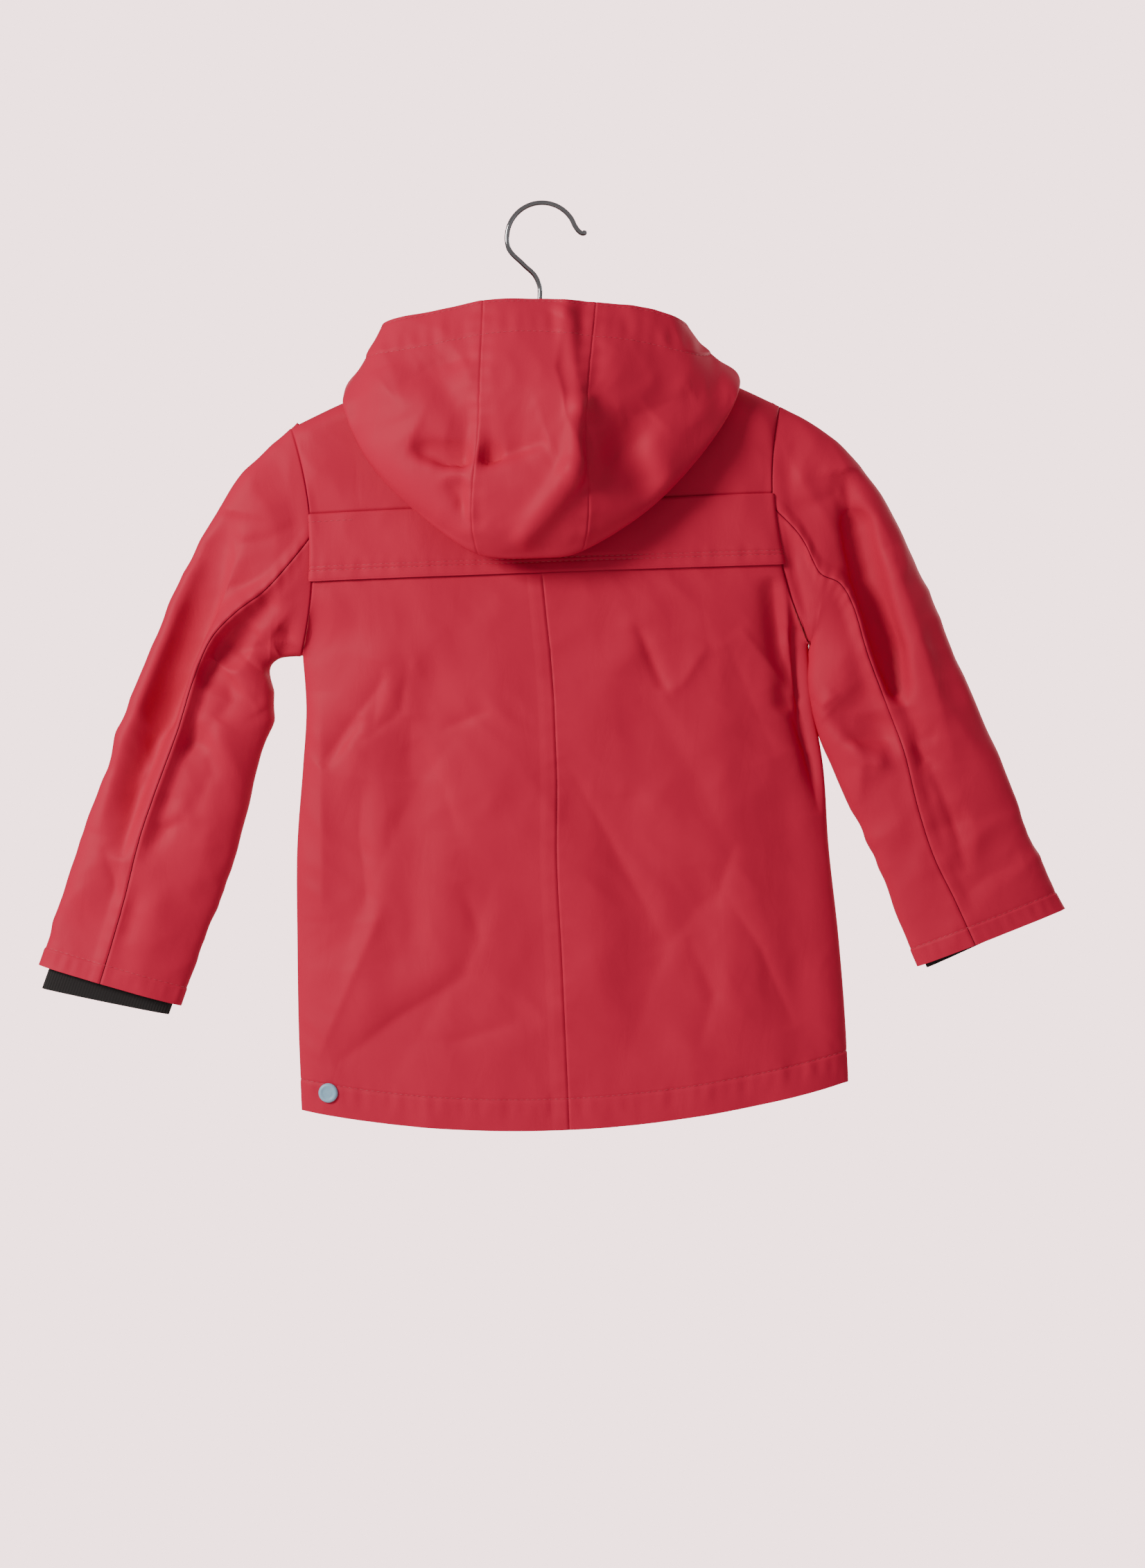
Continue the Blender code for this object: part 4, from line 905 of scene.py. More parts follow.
def stitchedFold(distance, width, rise, soft=0.0007, rowWidth=0.0009):
    # the doubled cloth of a hem, and the row of stitches pressed in just inside its edge
    row = ridge(distance, width - cloth["rowIn"], rowWidth, cloth["rowDepth"])
    return raised(distance, width, soft, rise) + row


def hemForm(x, distance):
    drawn = pucker(x, distance - back["hem"] + back["drawnIn"], *back["hemPucker"])
    return stitchedFold(distance, back["hem"], back["hemRise"]) + drawn


def backForm(inner, outer):
    # the centre seam shows up to the storm flap; its allowance is pressed to the left half
    def form(base, edges, level, turn):
        shown = fadeIn(back["flapEdge"] - level, 0.04)
        seam = edges[inner]
        height = backWave(base, level, turn) + hemForm(base[..., 0], edges["low"])
        height += groove(seam) * shown + groove(edges["high"])
        height += pucker(base[..., 2], seam, *back["seamPucker"]) * shown
        if inner == "right":
            height += raised(seam, back["allowance"], 0.0007, back["allowanceRise"]) * shown
        return height + groove(edges[outer], back["sideRoll"])

    return form


def flapForm(base, edges, level, turn):
    lift = lerp(*back["flapLift"], (2 - level) / (2 - back["flapEdge"]))
    height = backWave(base, level, turn) + lift + cloth["thickness"] + groove(edges["high"])
    for row in back["flapRows"]:
        height += ridge(edges["low"], row, 0.0008, -0.0004)
    height += pucker(base[..., 0], edges["low"] - sum(back["flapRows"]) / 2, *back["flapPucker"])
    return height + raised(edges["low"], 0.0012, 0.0006, -0.0004)  # the turned edge


def yokeForm(base, edges, level, turn):
    return backWave(base, level, turn) + groove(edges["low"])


def yokeLevelsAt(shares):
    # levels from the flap's seam to the shoulder, closer together where the shoulder rounds over
    return 3 - (1 - shares) ** 2


def bodyPanel(name, node, face, levels, turns, form):
    towards = (0.5, 0.5, (0, -1 if face == "back" else 1, 0))
    base = bodyPoint(face, turns[None, :], levels[:, None])
    return makePanel(name, node, levels, turns, base, form, towards)


fineStep, plainStep = cloth["gridStep"], cloth["plainStep"]
centreSeam, sideGap = body["centreSeam"], back["sideGap"]
centreGap, levelGap = back["centreGap"], back["levelGap"]
fineHem = (back["turnedEdge"], back["hem"])
lowerLevels = np.concatenate((
    evenly(0, 1, back["seamLength"], fineStep, fineHem)[:-1],
    evenly(1, 2 - levelGap, back["armholeLength"], fineStep, (), (0.0,)),
))
leftEdges = ((0.0,), (0.0, back["allowance"]))
leftTurns = evenly(sideGap, centreSeam - centreGap, back["halfWidths"][0], fineStep, *leftEdges)
rightTurns = evenly(centreSeam + centreGap, 1 - sideGap, back["halfWidths"][1], fineStep, (0.0,), (0.0,))
flapTurns = evenly(back["flapTrim"], 1 - back["flapTrim"], back["flapWidth"], fineStep, (0.0,), (0.0,))
flapLevels = evenly(back["flapEdge"], 2, back["flapLength"], fineStep, (0.0008, *back["flapRows"]), (0.0,))
yokeLevels = yokeLevelsAt(evenly(levelGap, back["topEnd"], back["yokeLength"], fineStep, (0.0,)))
yokeTurns = evenly(sideGap, 1 - sideGap, back["yokeWidth"], fineStep)
backLeft = bodyPanel("backLeft", "back_left", "back", lowerLevels, leftTurns, backForm("right", "left"))
backRight = bodyPanel("backRight", "back_right", "back", lowerLevels, rightTurns, backForm("left", "right"))
stormFlap = bodyPanel("stormFlap", "back_flap", "back", flapLevels, flapTurns, flapForm)
backYoke = bodyPanel("backYoke", "back_yoke", "back", yokeLevels, yokeTurns, yokeForm)
print("back made")

front = {
    "halfWidth": 0.22,
    "placketWidth": 0.048,
    "waves": ((0.070, 0.0015, 15), (0.030, 0.0005, 16)),
    "placketEdges": (0.459, 0.541),
    "placketTop": 2.8,
    "hemGap": 0.0009,
    "placketLift": 0.0004,
    "stitchIn": 0.004,
}


def frontForm(base, edges, level, turn):
    x, z = base[..., 0], base[..., 2]
    return waves(front["waves"], x, z) * insideEdges(level, turn) + hemForm(x, edges["low"])


def placketForm(base, edges, level, turn):
    height = frontForm(base, edges, level, turn)
    for side in ("left", "right"):
        height += ridge(edges[side], front["stitchIn"], 0.0009, -0.0004)
    return height + front["placketLift"] + cloth["thickness"]


frontLevels = np.concatenate((
    evenly(front["hemGap"], 1, back["seamLength"], plainStep, fineHem)[:-1],
    evenly(1, 2, back["armholeLength"], plainStep)[:-1],
    yokeLevelsAt(evenly(0, back["topEnd"], back["yokeLength"], plainStep)),
))
placketLevels = frontLevels[frontLevels <= front["placketTop"]]
frontLeftTurns = evenly(sideGap, 0.5 - centreGap, front["halfWidth"], plainStep)
frontRightTurns = evenly(0.5 + centreGap, 1 - sideGap, front["halfWidth"], plainStep)
rowsIn = (front["stitchIn"],)
placketTurns = evenly(*front["placketEdges"], front["placketWidth"], fineStep, rowsIn, rowsIn)
frontLeft = bodyPanel("frontLeft", "front_left", "front", frontLevels, frontLeftTurns, frontForm)
frontRight = bodyPanel("frontRight", "front_right", "front", frontLevels, frontRightTurns, frontForm)
frontPlacket = bodyPanel("frontPlacket", "front_placket", "front", placketLevels, placketTurns, placketForm)
print("front made")

sleeveCloth = {
    "length": 0.44,
    "gapRadius": 0.045,  # turns the gap at a seam into an angle
    "waves": ((0.050, 0.0016, 25), (0.026, 0.0006, 26)),
    "hem": 0.0146,
    "hemRise": 0.0005,
    "drawnIn": 0.008,  # from the sleeve's end to where its hem is drawn up most
    "hemPucker": (0.007, 0.0002, 0.009),
    "seamPucker": (0.008, 0.0002, 0.013),
    "allowance": 0.0075,
    "lap": 0.0060,  # how far the sleeve's end runs in under the armhole
    "lapDepth": 0.93,  # share of the depth that's left at the lap's end
    "lapLevel": -0.02,
    "roll": -0.0006,
    "strokes": (  # height, left width, right width, sharpness, then the path
        (-0.0024, 0.0044, 0.008, 1.4, (0.2108, -0.3771), (0.2625, -0.3926)),
        (-0.0018, 0.0044, 0.008, 1.4, (0.2160, -0.3977), (0.2676, -0.4107)),
        (0.00225, 0.0044, 0.008, 1.4, (0.2201, -0.3668), (0.2082, -0.3771)),
        (0.00225, 0.0055, 0.01, 1.4, (0.2547, -0.4029), (0.2495, -0.4236)),
        (-0.0021, 0.0044, 0.008, 1.4, (0.2728, -0.3977), (0.2934, -0.4236)),
        (-0.0015, 0.0044, 0.008, 1.4, (0.2676, -0.4287), (0.2945, -0.4442)),
        (-0.0015, 0.0066, 0.012, 1.4, (0.3192, -0.4597), (0.2883, -0.4700)),
        (-0.0024, 0.0044, 0.008, 1.4, (-0.2229, -0.3151), (-0.1970, -0.3410)),
        (-0.0018, 0.0044, 0.008, 1.4, (-0.2280, -0.3358), (-0.2022, -0.3539)),
        (-0.0024, 0.0088, 0.016, 1.4, (-0.2487, -0.2583), (-0.2869, -0.3761)),
        (-0.0018, 0.0055, 0.01, 1.4, (-0.2745, -0.3977), (-0.2487, -0.4081)),
        (-0.0018, 0.0055, 0.01, 1.4, (-0.3003, -0.4287), (-0.2693, -0.4494)),
        (-0.0018, 0.0066, 0.012, 1.4, (-0.2332, -0.3668), (-0.2590, -0.4132)),
        (0.005, 0.008, 0.012, 1.6, (-0.2554, -0.2654), (-0.2667, -0.2911), (-0.2924, -0.3522),
         (-0.3181, -0.4165), (-0.3326, -0.4712)),
        (-0.017, 0.026, 0.014, 1.7, (-0.2345, -0.2300), (-0.2442, -0.2751), (-0.2747, -0.3619),
         (-0.3020, -0.4294), (-0.3149, -0.4905)),
        (-0.0042, 0.008, 0.01, 1.4, (-0.2474, -0.3538), (-0.2345, -0.3329), (-0.2024, -0.3329)),
        (-0.0035, 0.006, 0.01, 1.4, (-0.2409, -0.3876), (-0.2297, -0.3715), (-0.2345, -0.3538)),
        (0.003, 0.008, 0.008, 1.5, (-0.2345, -0.3522), (-0.2168, -0.3715), (-0.2104, -0.3812)),
        (-0.005, 0.01, 0.008, 1.5, (-0.1959, -0.3169), (-0.1782, -0.3313), (-0.1959, -0.3394)),
        (-0.0022, 0.004, 0.007, 1.3, (-0.2940, -0.4840), (-0.2779, -0.4664), (-0.2651, -0.4599)),
        (-0.0018, 0.004, 0.006, 1.3, (-0.2892, -0.4664), (-0.2747, -0.4680)),
        (-0.003, 0.007, 0.005, 1.4, (-0.3277, -0.4808), (-0.3149, -0.5162), (-0.3101, -0.5258),
         (-0.3229, -0.5644)),
        (-0.0022, 0.006, 0.01, 1.4, (-0.2522, -0.3876), (-0.2458, -0.4262), (-0.2618, -0.4583)),
        (-0.0018, 0.005, 0.009, 1.4, (-0.2329, -0.2558), (-0.2040, -0.2509), (-0.1782, -0.2397)),
        (-0.0018, 0.005, 0.009, 1.4, (-0.2425, -0.3104), (-0.2329, -0.2879), (-0.2040, -0.2815)),
        (-0.015, 0.009, 0.020, 1.7, (0.2259, -0.1998), (0.2339, -0.2448), (0.2468, -0.2963),
         (0.2597, -0.3349), (0.2645, -0.3767)),
        (-0.0042, 0.013, 0.006, 1.4, (0.2130, -0.3831), (0.2307, -0.3985), (0.2661, -0.3998)),
        (0.003, 0.005, 0.009, 1.4, (0.2018, -0.3734), (0.2307, -0.4008), (0.2397, -0.4185),
         (0.2365, -0.4506)),
        (-0.0032, 0.006, 0.008, 1.4, (0.2661, -0.3670), (0.2822, -0.3992), (0.2950, -0.4008)),
        (-0.003, 0.006, 0.005, 1.2, (0.2886, -0.4185), (0.2999, -0.4442), (0.3111, -0.4763),
         (0.3169, -0.5020)),
        (-0.002, 0.005, 0.006, 1.3, (0.2757, -0.4056), (0.2854, -0.4152), (0.2741, -0.4281)),
        (0.0026, 0.012, 0.006, 1.5, (0.2597, -0.2577), (0.2790, -0.3156), (0.2950, -0.3670),
         (0.3079, -0.4185)),
        (-0.0024, 0.01, 0.014, 1.6, (0.3593, -0.4506), (0.3272, -0.4603), (0.3047, -0.4635)),
        (-0.003, 0.007, 0.005, 1.4, (0.1809, -0.2384), (0.1873, -0.2834), (0.1954, -0.3059),
         (0.2066, -0.3075)),
        (-0.0018, 0.006, 0.01, 1.4, (0.3593, -0.4924), (0.3336, -0.5020), (0.3079, -0.5246)),
        (-0.002, 0.005, 0.008, 1.4, (0.1793, -0.2304), (0.2018, -0.2255), (0.2227, -0.2159)),
    ),
}


def sleeveForm(upper):
    # the back seam's allowance is pressed to the upper piece
    def form(base, edges, level, turn):
        x, z, low, hem = base[..., 0], base[..., 2], edges["low"] - sleeveCloth["lap"], edges["high"]
        beside = np.minimum(edges["left"], edges["right"])
        onBack = fadeIn(-base[..., 1], 0.008)
        height = waves(sleeveCloth["waves"], x, z) + strokes(sleeveCloth["strokes"], x, z) * onBack
        height = height * fadeIn(beside, 0.012) * fadeIn(low, 0.020)
        height += stitchedFold(hem, sleeveCloth["hem"], sleeveCloth["hemRise"])
        drawn = pucker(beside, hem - sleeveCloth["drawnIn"], *sleeveCloth["hemPucker"])
        height += drawn * fadeIn(beside, 0.01)
        height += pucker(level * 0.03, beside, *sleeveCloth["seamPucker"]) * fadeIn(low, 0.020)
        if upper:
            height += raised(edges["right"], sleeveCloth["allowance"], 0.0007, 0.0005) * fadeIn(low, 0.010)
        return height + groove(beside, sleeveCloth["roll"]) + groove(low, sleeveCloth["roll"])

    return form


def sleevePanel(name, node, side, upper, width):
    rings = sleeve["rings"][side]
    hemRows = (0.0006, sleeveCloth["hem"])
    levels = evenly(0, len(rings) - 1, sleeveCloth["length"], fineStep, (0.0,), hemRows)
    shares = evenly(0, 1, width, fineStep, (0.0,), (0.0,))
    toBack = smoothAt(range(len(rings)), [ring[-1] for ring in rings], levels)[..., 0]
    backSeam = np.arccos(1 - 2 * toBack)[:, None]
    frontSeam = np.arccos(1 - 2 * sleeve["frontSeam"])
    halfGap = cloth["seamGap"] / 2 / sleeveCloth["gapRadius"]
    low, high = (-frontSeam, backSeam) if upper else (backSeam, 2 * np.pi - frontSeam)
    angles = lerp(low + halfGap, high - halfGap, shares[None, :])
    base = sleevePoint(side, levels[:, None] + 0 * angles, angles)
    # the sleeve's end runs a little way in under the armhole, so that no light shows through the seam
    inward = base[0] - base[1]
    inward = inward / np.linalg.norm(inward, axis=-1, keepdims=True) * sleeveCloth["lap"]
    tucked = (base[0] + inward) * (1, sleeveCloth["lapDepth"], 1)
    base, levels = np.concatenate((tucked[None], base)), np.concatenate(([sleeveCloth["lapLevel"]], levels))
    middle = len(levels) // 2
    across = base[middle, len(shares) // 2] - (base[middle, 0] + base[middle, -1]) / 2
    return makePanel(name, node, levels, shares, base, sleeveForm(upper), (0.5, 0.5, across))


sleeves = {
    # name: node, side, upper, width of its grid, flat cut, area
    "sleeveLeftUpper": ("sleeve_left_upper", 0, True, 0.180, (0.200, 0.470), 0.0633),
    "sleeveLeftUnder": ("sleeve_left_under", 0, False, 0.110, (0.130, 0.430), 0.0359),
    "sleeveRightUpper": ("sleeve_right_upper", 1, True, 0.190, (0.210, 0.470), 0.0706),
    "sleeveRightUnder": ("sleeve_right_under", 1, False, 0.090, (0.100, 0.430), 0.0288),
}
for name, (node, side, upper, width, flat, area) in sleeves.items():
    piece = sleevePanel(name, node, side, upper, width)
print("sleeves made")

cuff = {
    # how far inside the sleeve, how far out at the outer and the inner edge, squeeze
    "rows": ((0.045, 0.0165, 0.0090, 0.130), (0.045, -0.0030, 0.0035, 0.110)),
    "topWidth": 0.935,
    "topDepth": 0.0120,
    "halfDepth": 0.0105,
    "narrowing": 1.6,  # it has its full squeeze and depth after the first part of its length
    "ribs": (98, 92),
    "ribHeight": 0.00035,
    "levels": 16,
    "pointsPerRib": 5,
}


def cuffGrid(side, levels, angles):
    ring, above = np.array(sleeve["rings"][side][-1]), np.array(sleeve["rings"][side][-2])
    inside, outerReach, innerReach, squeeze = cuff["rows"][side]
    outer, inner = np.array((ring[0], 0, ring[1])), np.array((ring[2], 0, ring[3]))
    upper = np.array((above[0] + above[2], 0, above[1] + above[3])) / 2
    down = (outer + inner) / 2 - upper
    down = down / np.linalg.norm(down)
    chord = (inner - outer) / np.linalg.norm(inner - outer)
    level, angle = np.meshgrid(levels, angles, indexing="ij")
    reach = lerp(-inside, lerp(outerReach, innerReach, (1 - np.cos(angle)) / 2), level)
    share = np.clip(level * cuff["narrowing"], None, 1)
    narrow = lerp(cuff["topWidth"], 1 - squeeze, share)
    halfDepth = lerp(cuff["topDepth"], cuff["halfDepth"], share)
    along = -np.cos(angle) * np.linalg.norm(inner - outer) / 2 * narrow
    depth = np.sign(np.sin(angle)) * np.abs(np.sin(angle)) ** cloth["fullness"] * halfDepth
    centre = (outer + inner) / 2 + down * reach[..., None]
    return centre + chord * along[..., None] + np.array((0, -1, 0)) * depth[..., None]


def makeCuff(name, node, side, finish):
    levels = np.linspace(0, 1, cuff["levels"])
    angles = np.linspace(0, 2 * np.pi, cuff["ribs"][side] * cuff["pointsPerRib"], endpoint=False)
    base = cuffGrid(side, levels, angles)
    # the ribs are even along the cloth, so they're counted along it and not by the angle
    rim = np.linalg.norm(np.diff(base[-1], axis=0, append=base[-1][:1]), axis=1)
    along = np.concatenate(([0], np.cumsum(rim)[:-1])) / rim.sum()

    def form(base, edges, level, turn):
        ribs = np.cos(2 * np.pi * cuff["ribs"][side] * along)
        return cuff["ribHeight"] * (ribs - 1) / 2 * np.ones_like(level)

    middle = base[-1].mean(0)
    facing = (1.0, 0.25, base[-1, len(angles) // 4] - middle)
    return makePanel(name, node, levels, angles, base, form, facing, (finish, finish), rib=True)


blackRib = ribKnit()
cuffLeft = makeCuff("cuffLeft", "cuff_left", 0, blackRib)
cuffRight = makeCuff("cuffRight", "cuff_right", 1, blackRib)
print("cuffs made")

hoodCloth = {
    "levels": ((0, 4, 14), (4, 6, 16), (6, 7, 35), (7, 8, 57)),  # from, to, how many rows of faces
    "bulgeRow": 0.53,  # share of the rows where the bulge is
    "waves": ((0.055, 0.0013, 35), (0.026, 0.0005, 36)),
    "hem": 0.028,
    "edgeRow": 0.0022,
    "hemRise": 0.0006,
    "roll": -0.0006,
    "hemSoftness": (0.0009, 0.0010),  # of the doubled cloth's edge and of its row of stitches
    "foldsFrom": 5.6,  # the level past the pouch's fold where the folds set in
    "drawnIn": 0.020,  # where the rim is drawn up most
    "rimPucker": (0.010, 0.0002),
    "seamPucker": (0.008, 0.0003, 0.012),
    "widths": (0.32, 0.085, 0.32),  # left side, centre strip, right side
    "gap": -0.08,  # degrees beside the centre strip, under 0 for edges that overlap
    "strokes": (  # height, left width, right width, sharpness, then the path
        (-0.0024, 0.0039, 0.007, 1.4, (-0.0805, -0.1966), (-0.0283, -0.1956)),
        (-0.0027, 0.0055, 0.01, 1.4, (-0.0613, -0.2108), (-0.0511, -0.2281)),
        (-0.0012, 0.0033, 0.006, 1.4, (-0.0461, -0.2057), (-0.0638, -0.2017)),
        (-0.00135, 0.0044, 0.008, 1.4, (-0.0450, -0.2367), (-0.0638, -0.2291)),
        (0.0012, 0.0055, 0.01, 1.4, (0.0178, -0.0820), (0.0138, -0.0901)),
        (-0.0018, 0.011, 0.02, 1.4, (0.0477, -0.1855), (0.0858, -0.2159)),
        (-0.0012, 0.0077, 0.014, 1.4, (0.0401, -0.1449), (0.0630, -0.1652)),
        (-0.0012, 0.0099, 0.018, 1.4, (-0.0106, -0.1449), (-0.0182, -0.2159)),
        (0.0012, 0.0088, 0.016, 1.4, (-0.1120, -0.1246), (-0.0993, -0.1652)),
        (0.0055, 0.009, 0.034, 1.2, (0.0178, -0.0807), (0.0097, -0.1303), (0.0315, -0.2036),
         (0.0097, -0.2340), (-0.0156, -0.2618)),
        (-0.0085, 0.020, 0.005, 1.3, (-0.0965, -0.1859), (-0.0712, -0.1971), (-0.0267, -0.1935),
         (0.0047, -0.1839)),
        (-0.0045, 0.009, 0.007, 1.5, (-0.0687, -0.2112), (-0.0571, -0.2340), (-0.0459, -0.2492)),
        (-0.004, 0.014, 0.012, 1.6, (0.0391, -0.2163), (0.0578, -0.1910), (0.0857, -0.1657)),
        (-0.003, 0.01, 0.01, 1.6, (0.1110, -0.1454), (0.0806, -0.1606), (0.0603, -0.1657)),
        (-0.0026, 0.012, 0.008, 1.5, (-0.1117, -0.1454), (-0.0814, -0.1252), (-0.0409, -0.1176)),
    ),
}


def hoodForm(seams):
    def form(base, edges, level, turn):
        x, z = base[..., 0], base[..., 2]
        beside = np.minimum.reduce([edges[side] for side in seams])
        height = waves(hoodCloth["waves"], x, z) + strokes(hoodCloth["strokes"], x, z)
        shown = fadeIn(level - hoodCloth["foldsFrom"], 0.8) * fadeIn(-base[..., 1], 0.02)
        height = height * shown * fadeIn(beside, 0.010)
        rim = edges["high"]
        height += stitchedFold(rim, hoodCloth["hem"], hoodCloth["hemRise"], *hoodCloth["hemSoftness"])
        height += ridge(rim, hoodCloth["edgeRow"], 0.0008, -0.0003)
        height += pucker(x, rim - hoodCloth["drawnIn"], *hoodCloth["rimPucker"])
        seam = groove(beside, hoodCloth["roll"]) + pucker(z, beside, *hoodCloth["seamPucker"])
        return height + seam * fadeIn(level - hood["foldLevel"], 0.3)

    return form


hoodLevels = [np.linspace(low, high, rows, endpoint=False) for low, high, rows in hoodCloth["levels"]]
hoodLevels = np.concatenate((*hoodLevels, [hoodCloth["levels"][-1][1]]))
stripStart, stripEnd = hood["seams"]
gap, frontGap = hoodCloth["gap"], hood["frontGap"]
leftWidth, stripWidth, rightWidth = hoodCloth["widths"]
leftTurns = evenly(frontGap, stripStart - gap, leftWidth, fineStep, (), (0.0,))
stripTurns = evenly(stripStart + gap, stripEnd - gap, stripWidth, fineStep, (0.0,), (0.0,))
rightTurns = evenly(stripEnd + gap, 360 - frontGap, rightWidth, fineStep, (0.0,))
hoods = {
    # name: node, turns, seams, flat cut, area
    "hoodLeft": ("hood_left", leftTurns, ("right",), (0.160, 0.370), 0.0379),
    "hoodCentre": ("hood_centre", stripTurns, ("left", "right"), (0.090, 0.370), 0.0282),
    "hoodRight": ("hood_right", rightTurns, ("left",), (0.155, 0.370), 0.0394),
}
for name, (node, turns, seams, flat, area) in hoods.items():
    angle = math.radians(turns[len(turns) // 2])
    facing = (hoodCloth["bulgeRow"], 0.5, (-math.sin(angle), math.cos(angle), 0))
    grid, form = hoodGrid(hoodLevels, turns), hoodForm(seams)
    piece = makePanel(name, node, hoodLevels, turns, grid, form, facing, creased=hood["foldLevel"])
print("hood made")

sewing = stitchTree(thread)
halves = ("backLeft", "backRight", "frontLeft", "frontRight")
hoodRows = (hoodCloth["edgeRow"], hoodCloth["hem"])
sew("hemStitches", sewing, [followEdge(name, "low", back["hem"]) for name in halves])
sew("flapStitches", sewing, [
    *(followEdge("stormFlap", "low", row) for row in back["flapRows"]),
    followEdge("stormFlap", "high", back["tackRow"], back["tackEnd"]),
])
sew("hoodStitches", sewing, [followEdge(name, "high", row) for name in hoods for row in hoodRows])
sew("sleeveStitches", sewing, [followEdge(name, "high", sleeveCloth["hem"]) for name in sleeves])
sew("placketStitches", sewing, [
    *(followEdge("frontPlacket", side, front["stitchIn"]) for side in ("left", "right")),
    followEdge("frontPlacket", "low", back["hem"]),
])
print("stitches sewn")

snap = {
    "profile": (  # radius, height: a pressed cap with a low rolled rim and a shallow dish
        (0.0068, -0.0004),
        (0.0073, 0.0002),
        (0.0073, 0.0010),
        (0.0070, 0.0019),
        (0.0063, 0.0025),
        (0.0056, 0.0027),
        (0.0049, 0.0026),
        (0.0043, 0.0023),
        (0.0030, 0.0022),
        (0.0015, 0.0022),
    ),
    "around": 64,
    "hem": (0.047, 0.148),  # level and turn on the back's left half
    "placket": (0.10, 0.62, 1.20, 1.90, 2.62),  # levels
    "lift": 0.0002,
}


def capMesh(name):
    # the profile turned round the cap's axis, closed below and above
    around = np.linspace(0, 2 * np.pi, snap["around"], endpoint=False)
    points = [(r * math.cos(a), r * math.sin(a), h) for r, h in snap["profile"] for a in around]
    points += [(0, 0, snap["profile"][0][1]), (0, 0, snap["profile"][-1][1])]
    faces = []
    count, rings = snap["around"], len(snap["profile"])
    for j in range(count):
        k = (j + 1) % count
        for i in range(rings - 1):
            faces.append((i * count + j, i * count + k, (i + 1) * count + k, (i + 1) * count + j))
        faces.append((rings * count, k, j))
        faces.append((rings * count + 1, (rings - 1) * count + j, (rings - 1) * count + k))
    mesh = bpy.data.meshes.new(name)
    mesh.from_pydata(points, [], faces)
    mesh.polygons.foreach_set("use_smooth", np.ones(len(faces), bool))
    return mesh


capPaint = paintedCap()
spots = [("snapHem", "snap_hem", "backLeft", *snap["hem"])]
spots += [
    (f"snapFront{number}", f"snap_front_{number}", "frontPlacket", level, 0.5)
    for number, level in enumerate(snap["placket"], 1)
]
for name, node, panel, level, turn in spots:
    point, normal = placeOn(panel, level, turn)
    mesh = capMesh(name)
    mesh.transform(normal.to_track_quat("Z", "Y").to_matrix().to_4x4())
    for vertex in mesh.vertices:
        vertex.co += point + normal * snap["lift"]
    mesh.materials.append(capPaint)
    addPiece(name, mesh, "snap_blue", node)
print("snaps made")

hook = {
    "wire": 0.0018,  # half the wire's width
    "radius": 0.0263,  # to the middle of the wire
    "arc": (195.6, 19.4),  # degrees, from the stem's side over the top to the tip's side
    "stem": ((-0.0016, -0.0700), (-0.0018, -0.0610), (-0.0050, -0.0535), (-0.0140, -0.0445)),
    "tip": ((0.0276, -0.0195), (0.0304, -0.0213), (0.0334, -0.0196)),
    "foot": -0.0970,
    "ball": 0.0021,
    "arcPoints": 14,
    "points": 160,
}


def hookMesh(finish):
    radius = hook["radius"]
    angles = np.radians(np.linspace(*hook["arc"], hook["arcPoints"]))
    arc = [(radius * math.cos(a), radius * math.sin(a) + hook["wire"] - radius) for a in angles]
    route = [(hook["stem"][0][0], hook["foot"]), *hook["stem"], *arc, *hook["tip"]]
    lengths = np.concatenate(([0], np.cumsum(np.linalg.norm(np.diff(route, axis=0), axis=1))))
    smooth = smoothAt(lengths, route, np.linspace(0, lengths[-1], hook["points"]))
    curve = bpy.data.curves.new("wire", "CURVE")
    curve.dimensions = "3D"
    curve.bevel_depth = hook["wire"]
    curve.bevel_resolution = 6
    curve.use_fill_caps = True
    line = curve.splines.new("POLY")
    line.points.add(len(smooth) - 1)
    reach = np.linspace(lengths[-1], 0, len(smooth))
    for point, (x, z), left in zip(line.points, smooth, reach):
        point.co = (x, 0, z, 1)
        past = (left - hook["ball"]) / hook["ball"]  # the wire swells to a small ball at its tip
        swell = math.sqrt(max(1 - past**2, 0)) * hook["ball"] / hook["wire"]
        point.radius = max(swell, 0.25 if left < hook["ball"] else 1)
    guide = bpy.data.objects.new("wire", curve)
    bpy.context.scene.collection.objects.link(guide)
    mesh = bpy.data.meshes.new_from_object(guide.evaluated_get(bpy.context.evaluated_depsgraph_get()))
    bpy.data.objects.remove(guide)
    bpy.data.curves.remove(curve)
    mesh.materials.clear()
    mesh.materials.append(finish)
    mesh.polygons.foreach_set("material_index", np.zeros(len(mesh.polygons), int))
    mesh.polygons.foreach_set("use_smooth", np.ones(len(mesh.polygons), bool))
    return mesh


addPiece("hangerHook", hookMesh(chromedWire()), "chrome_wire", "hanger_hook")
for place in bpy.data.objects["hanger_bar"].material_slots:
    place.material = lacqueredBeech()
print("hanger made")


def addArea(name, place, aim, size, watts, colour):
    light = bpy.data.lights.new(name, "AREA")
    light.size = size
    light.energy = watts
    light.color = linear(colour)[:3]
    lamp = bpy.data.objects.new(name, light)
    lamp.location = place
    lamp.rotation_euler = (Vector(aim) - Vector(place)).to_track_quat("-Z", "Y").to_euler()
    bpy.context.scene.collection.objects.link(lamp)


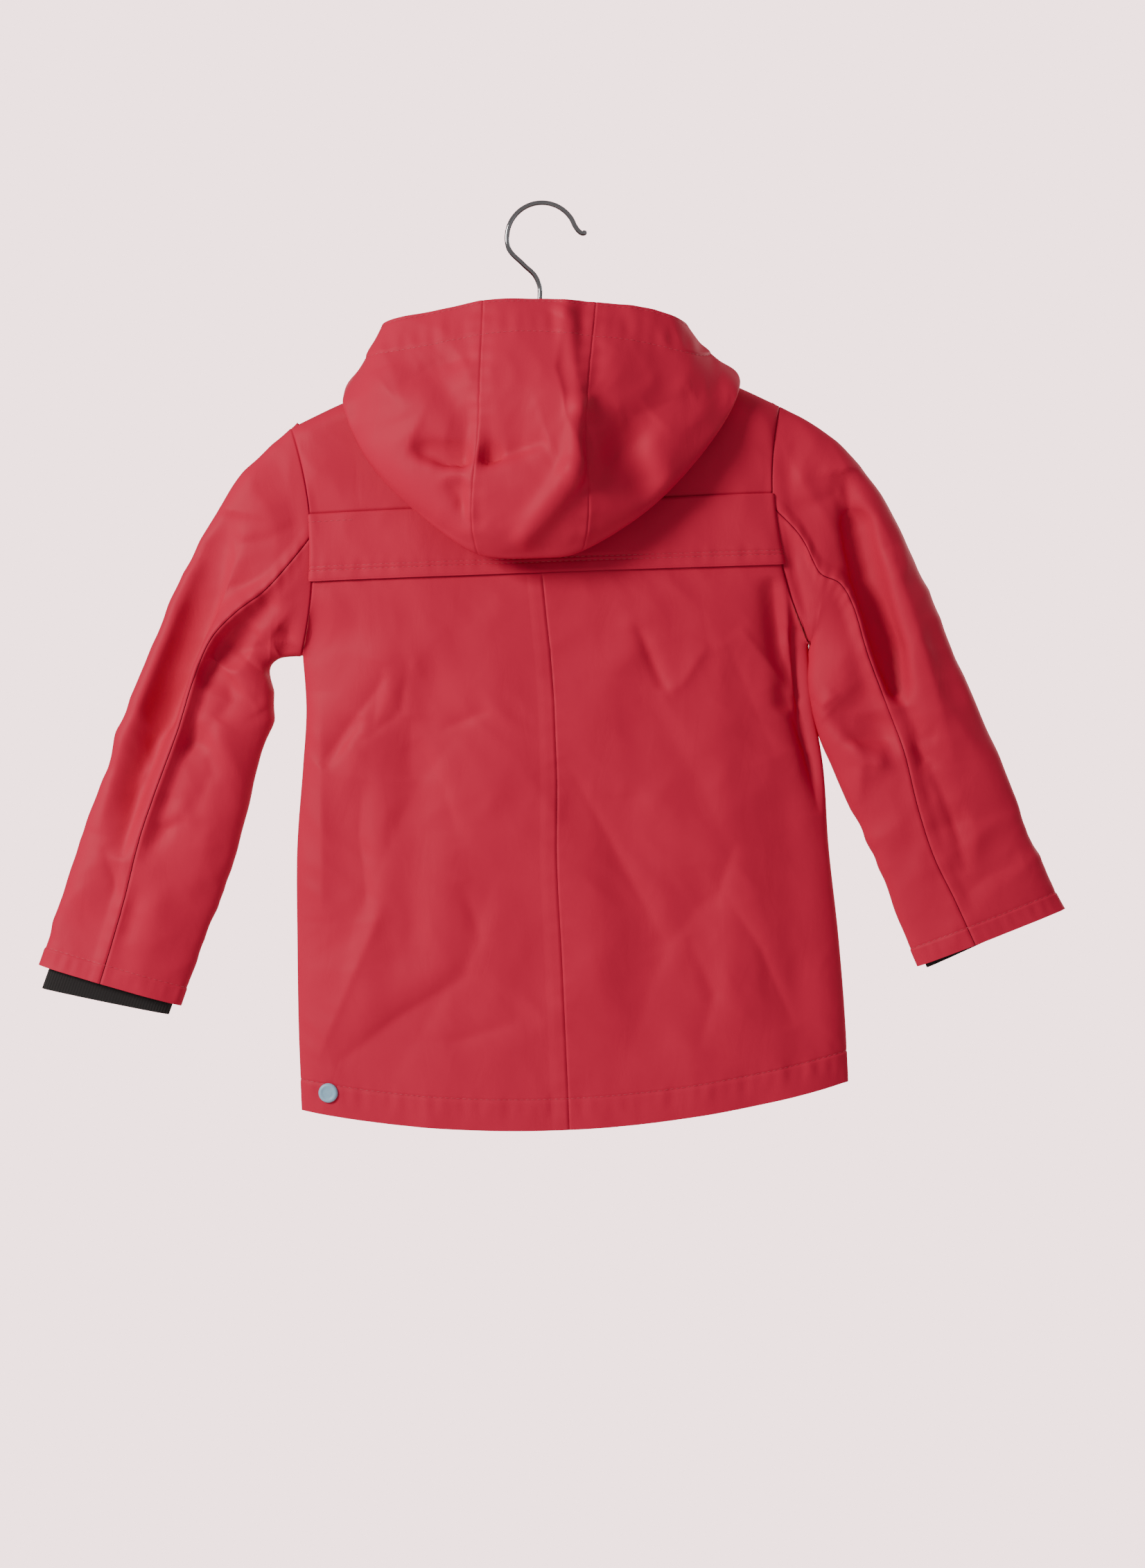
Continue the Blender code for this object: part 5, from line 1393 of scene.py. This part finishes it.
studio = {
    "aim": (0, 0, -0.35),
    "wall": (3.79, 2.71, 2.74, 1.0),  # the lit wall behind, in scene light
    "room": (0.38, 0.34, 0.33, 1.0),  # the dimmer room in front and around
    "wallSpread": (0.88, 0.965),  # cosines of the angles from straight behind where the wall ends and starts
    "key": {"place": (-1.9, -1.6, 0.5), "size": 0.8, "watts": 72.0, "colour": "#FFF8F2"},
    "frontKey": {"place": (2.0, 1.3, 0.7), "size": 0.8, "watts": 30.0, "colour": "#FFF8F2"},
    "fill": {"place": (1.6, -2.2, -0.2), "size": 1.6, "watts": 2.0, "colour": "#F4F6FF"},
}
world = bpy.data.worlds.new("paleRoom")
world.use_nodes = True
sky = world.node_tree.nodes["Background"]
toward = addNode(world.node_tree, "ShaderNodeTexCoord").outputs["Generated"]
depth = addNode(world.node_tree, "ShaderNodeSeparateXYZ", {"Vector": toward}).outputs["Y"]
spread = {"Value": depth, "From Min": studio["wallSpread"][0], "From Max": studio["wallSpread"][1]}
share = addNode(world.node_tree, "ShaderNodeMapRange", spread, interpolation_type="SMOOTHSTEP")
shades = {"Fac": share.outputs["Result"], "Color1": studio["room"], "Color2": studio["wall"]}
air = addNode(world.node_tree, "ShaderNodeMixRGB", shades)
world.node_tree.links.new(air.outputs[0], sky.inputs["Color"])
bpy.context.scene.world = world
for name in ("key", "frontKey", "fill"):
    lamp = studio[name]
    addArea(name, lamp["place"], studio["aim"], lamp["size"], lamp["watts"], lamp["colour"])

ground = {"reach": 1.15, "height": -1.35, "paint": "#E4DFDE", "roughness": 0.8}
reach = ground["reach"]
corners = [(x * reach, y * reach, ground["height"]) for x, y in ((-1, -1), (1, -1), (1, 1), (-1, 1))]
floorMesh = bpy.data.meshes.new("floor")
floorMesh.from_pydata(corners, [], [(0, 1, 2, 3)])
floor = bpy.data.objects.new("floor", floorMesh)
bpy.context.scene.collection.objects.link(floor)
# pale matt paint, rolled on smooth
paint = {"Base Color": linear(ground["paint"]), "Roughness": ground["roughness"]}
floorMesh.materials.append(newMaterial("paleFloorPaint", paint)[0])

view = {"place": (0.02288, -2.8, -0.43440), "focalLength": 85.66, "sensor": 36.0}
lens = bpy.data.cameras.new("camera")
lens.sensor_width = view["sensor"]
lens.lens = view["focalLength"]
camera = bpy.data.objects.new("camera", lens)
camera.location = view["place"]
camera.rotation_euler = (math.radians(90), 0, 0)
bpy.context.scene.collection.objects.link(camera)
bpy.context.scene.camera = camera
print("camera and lights set")
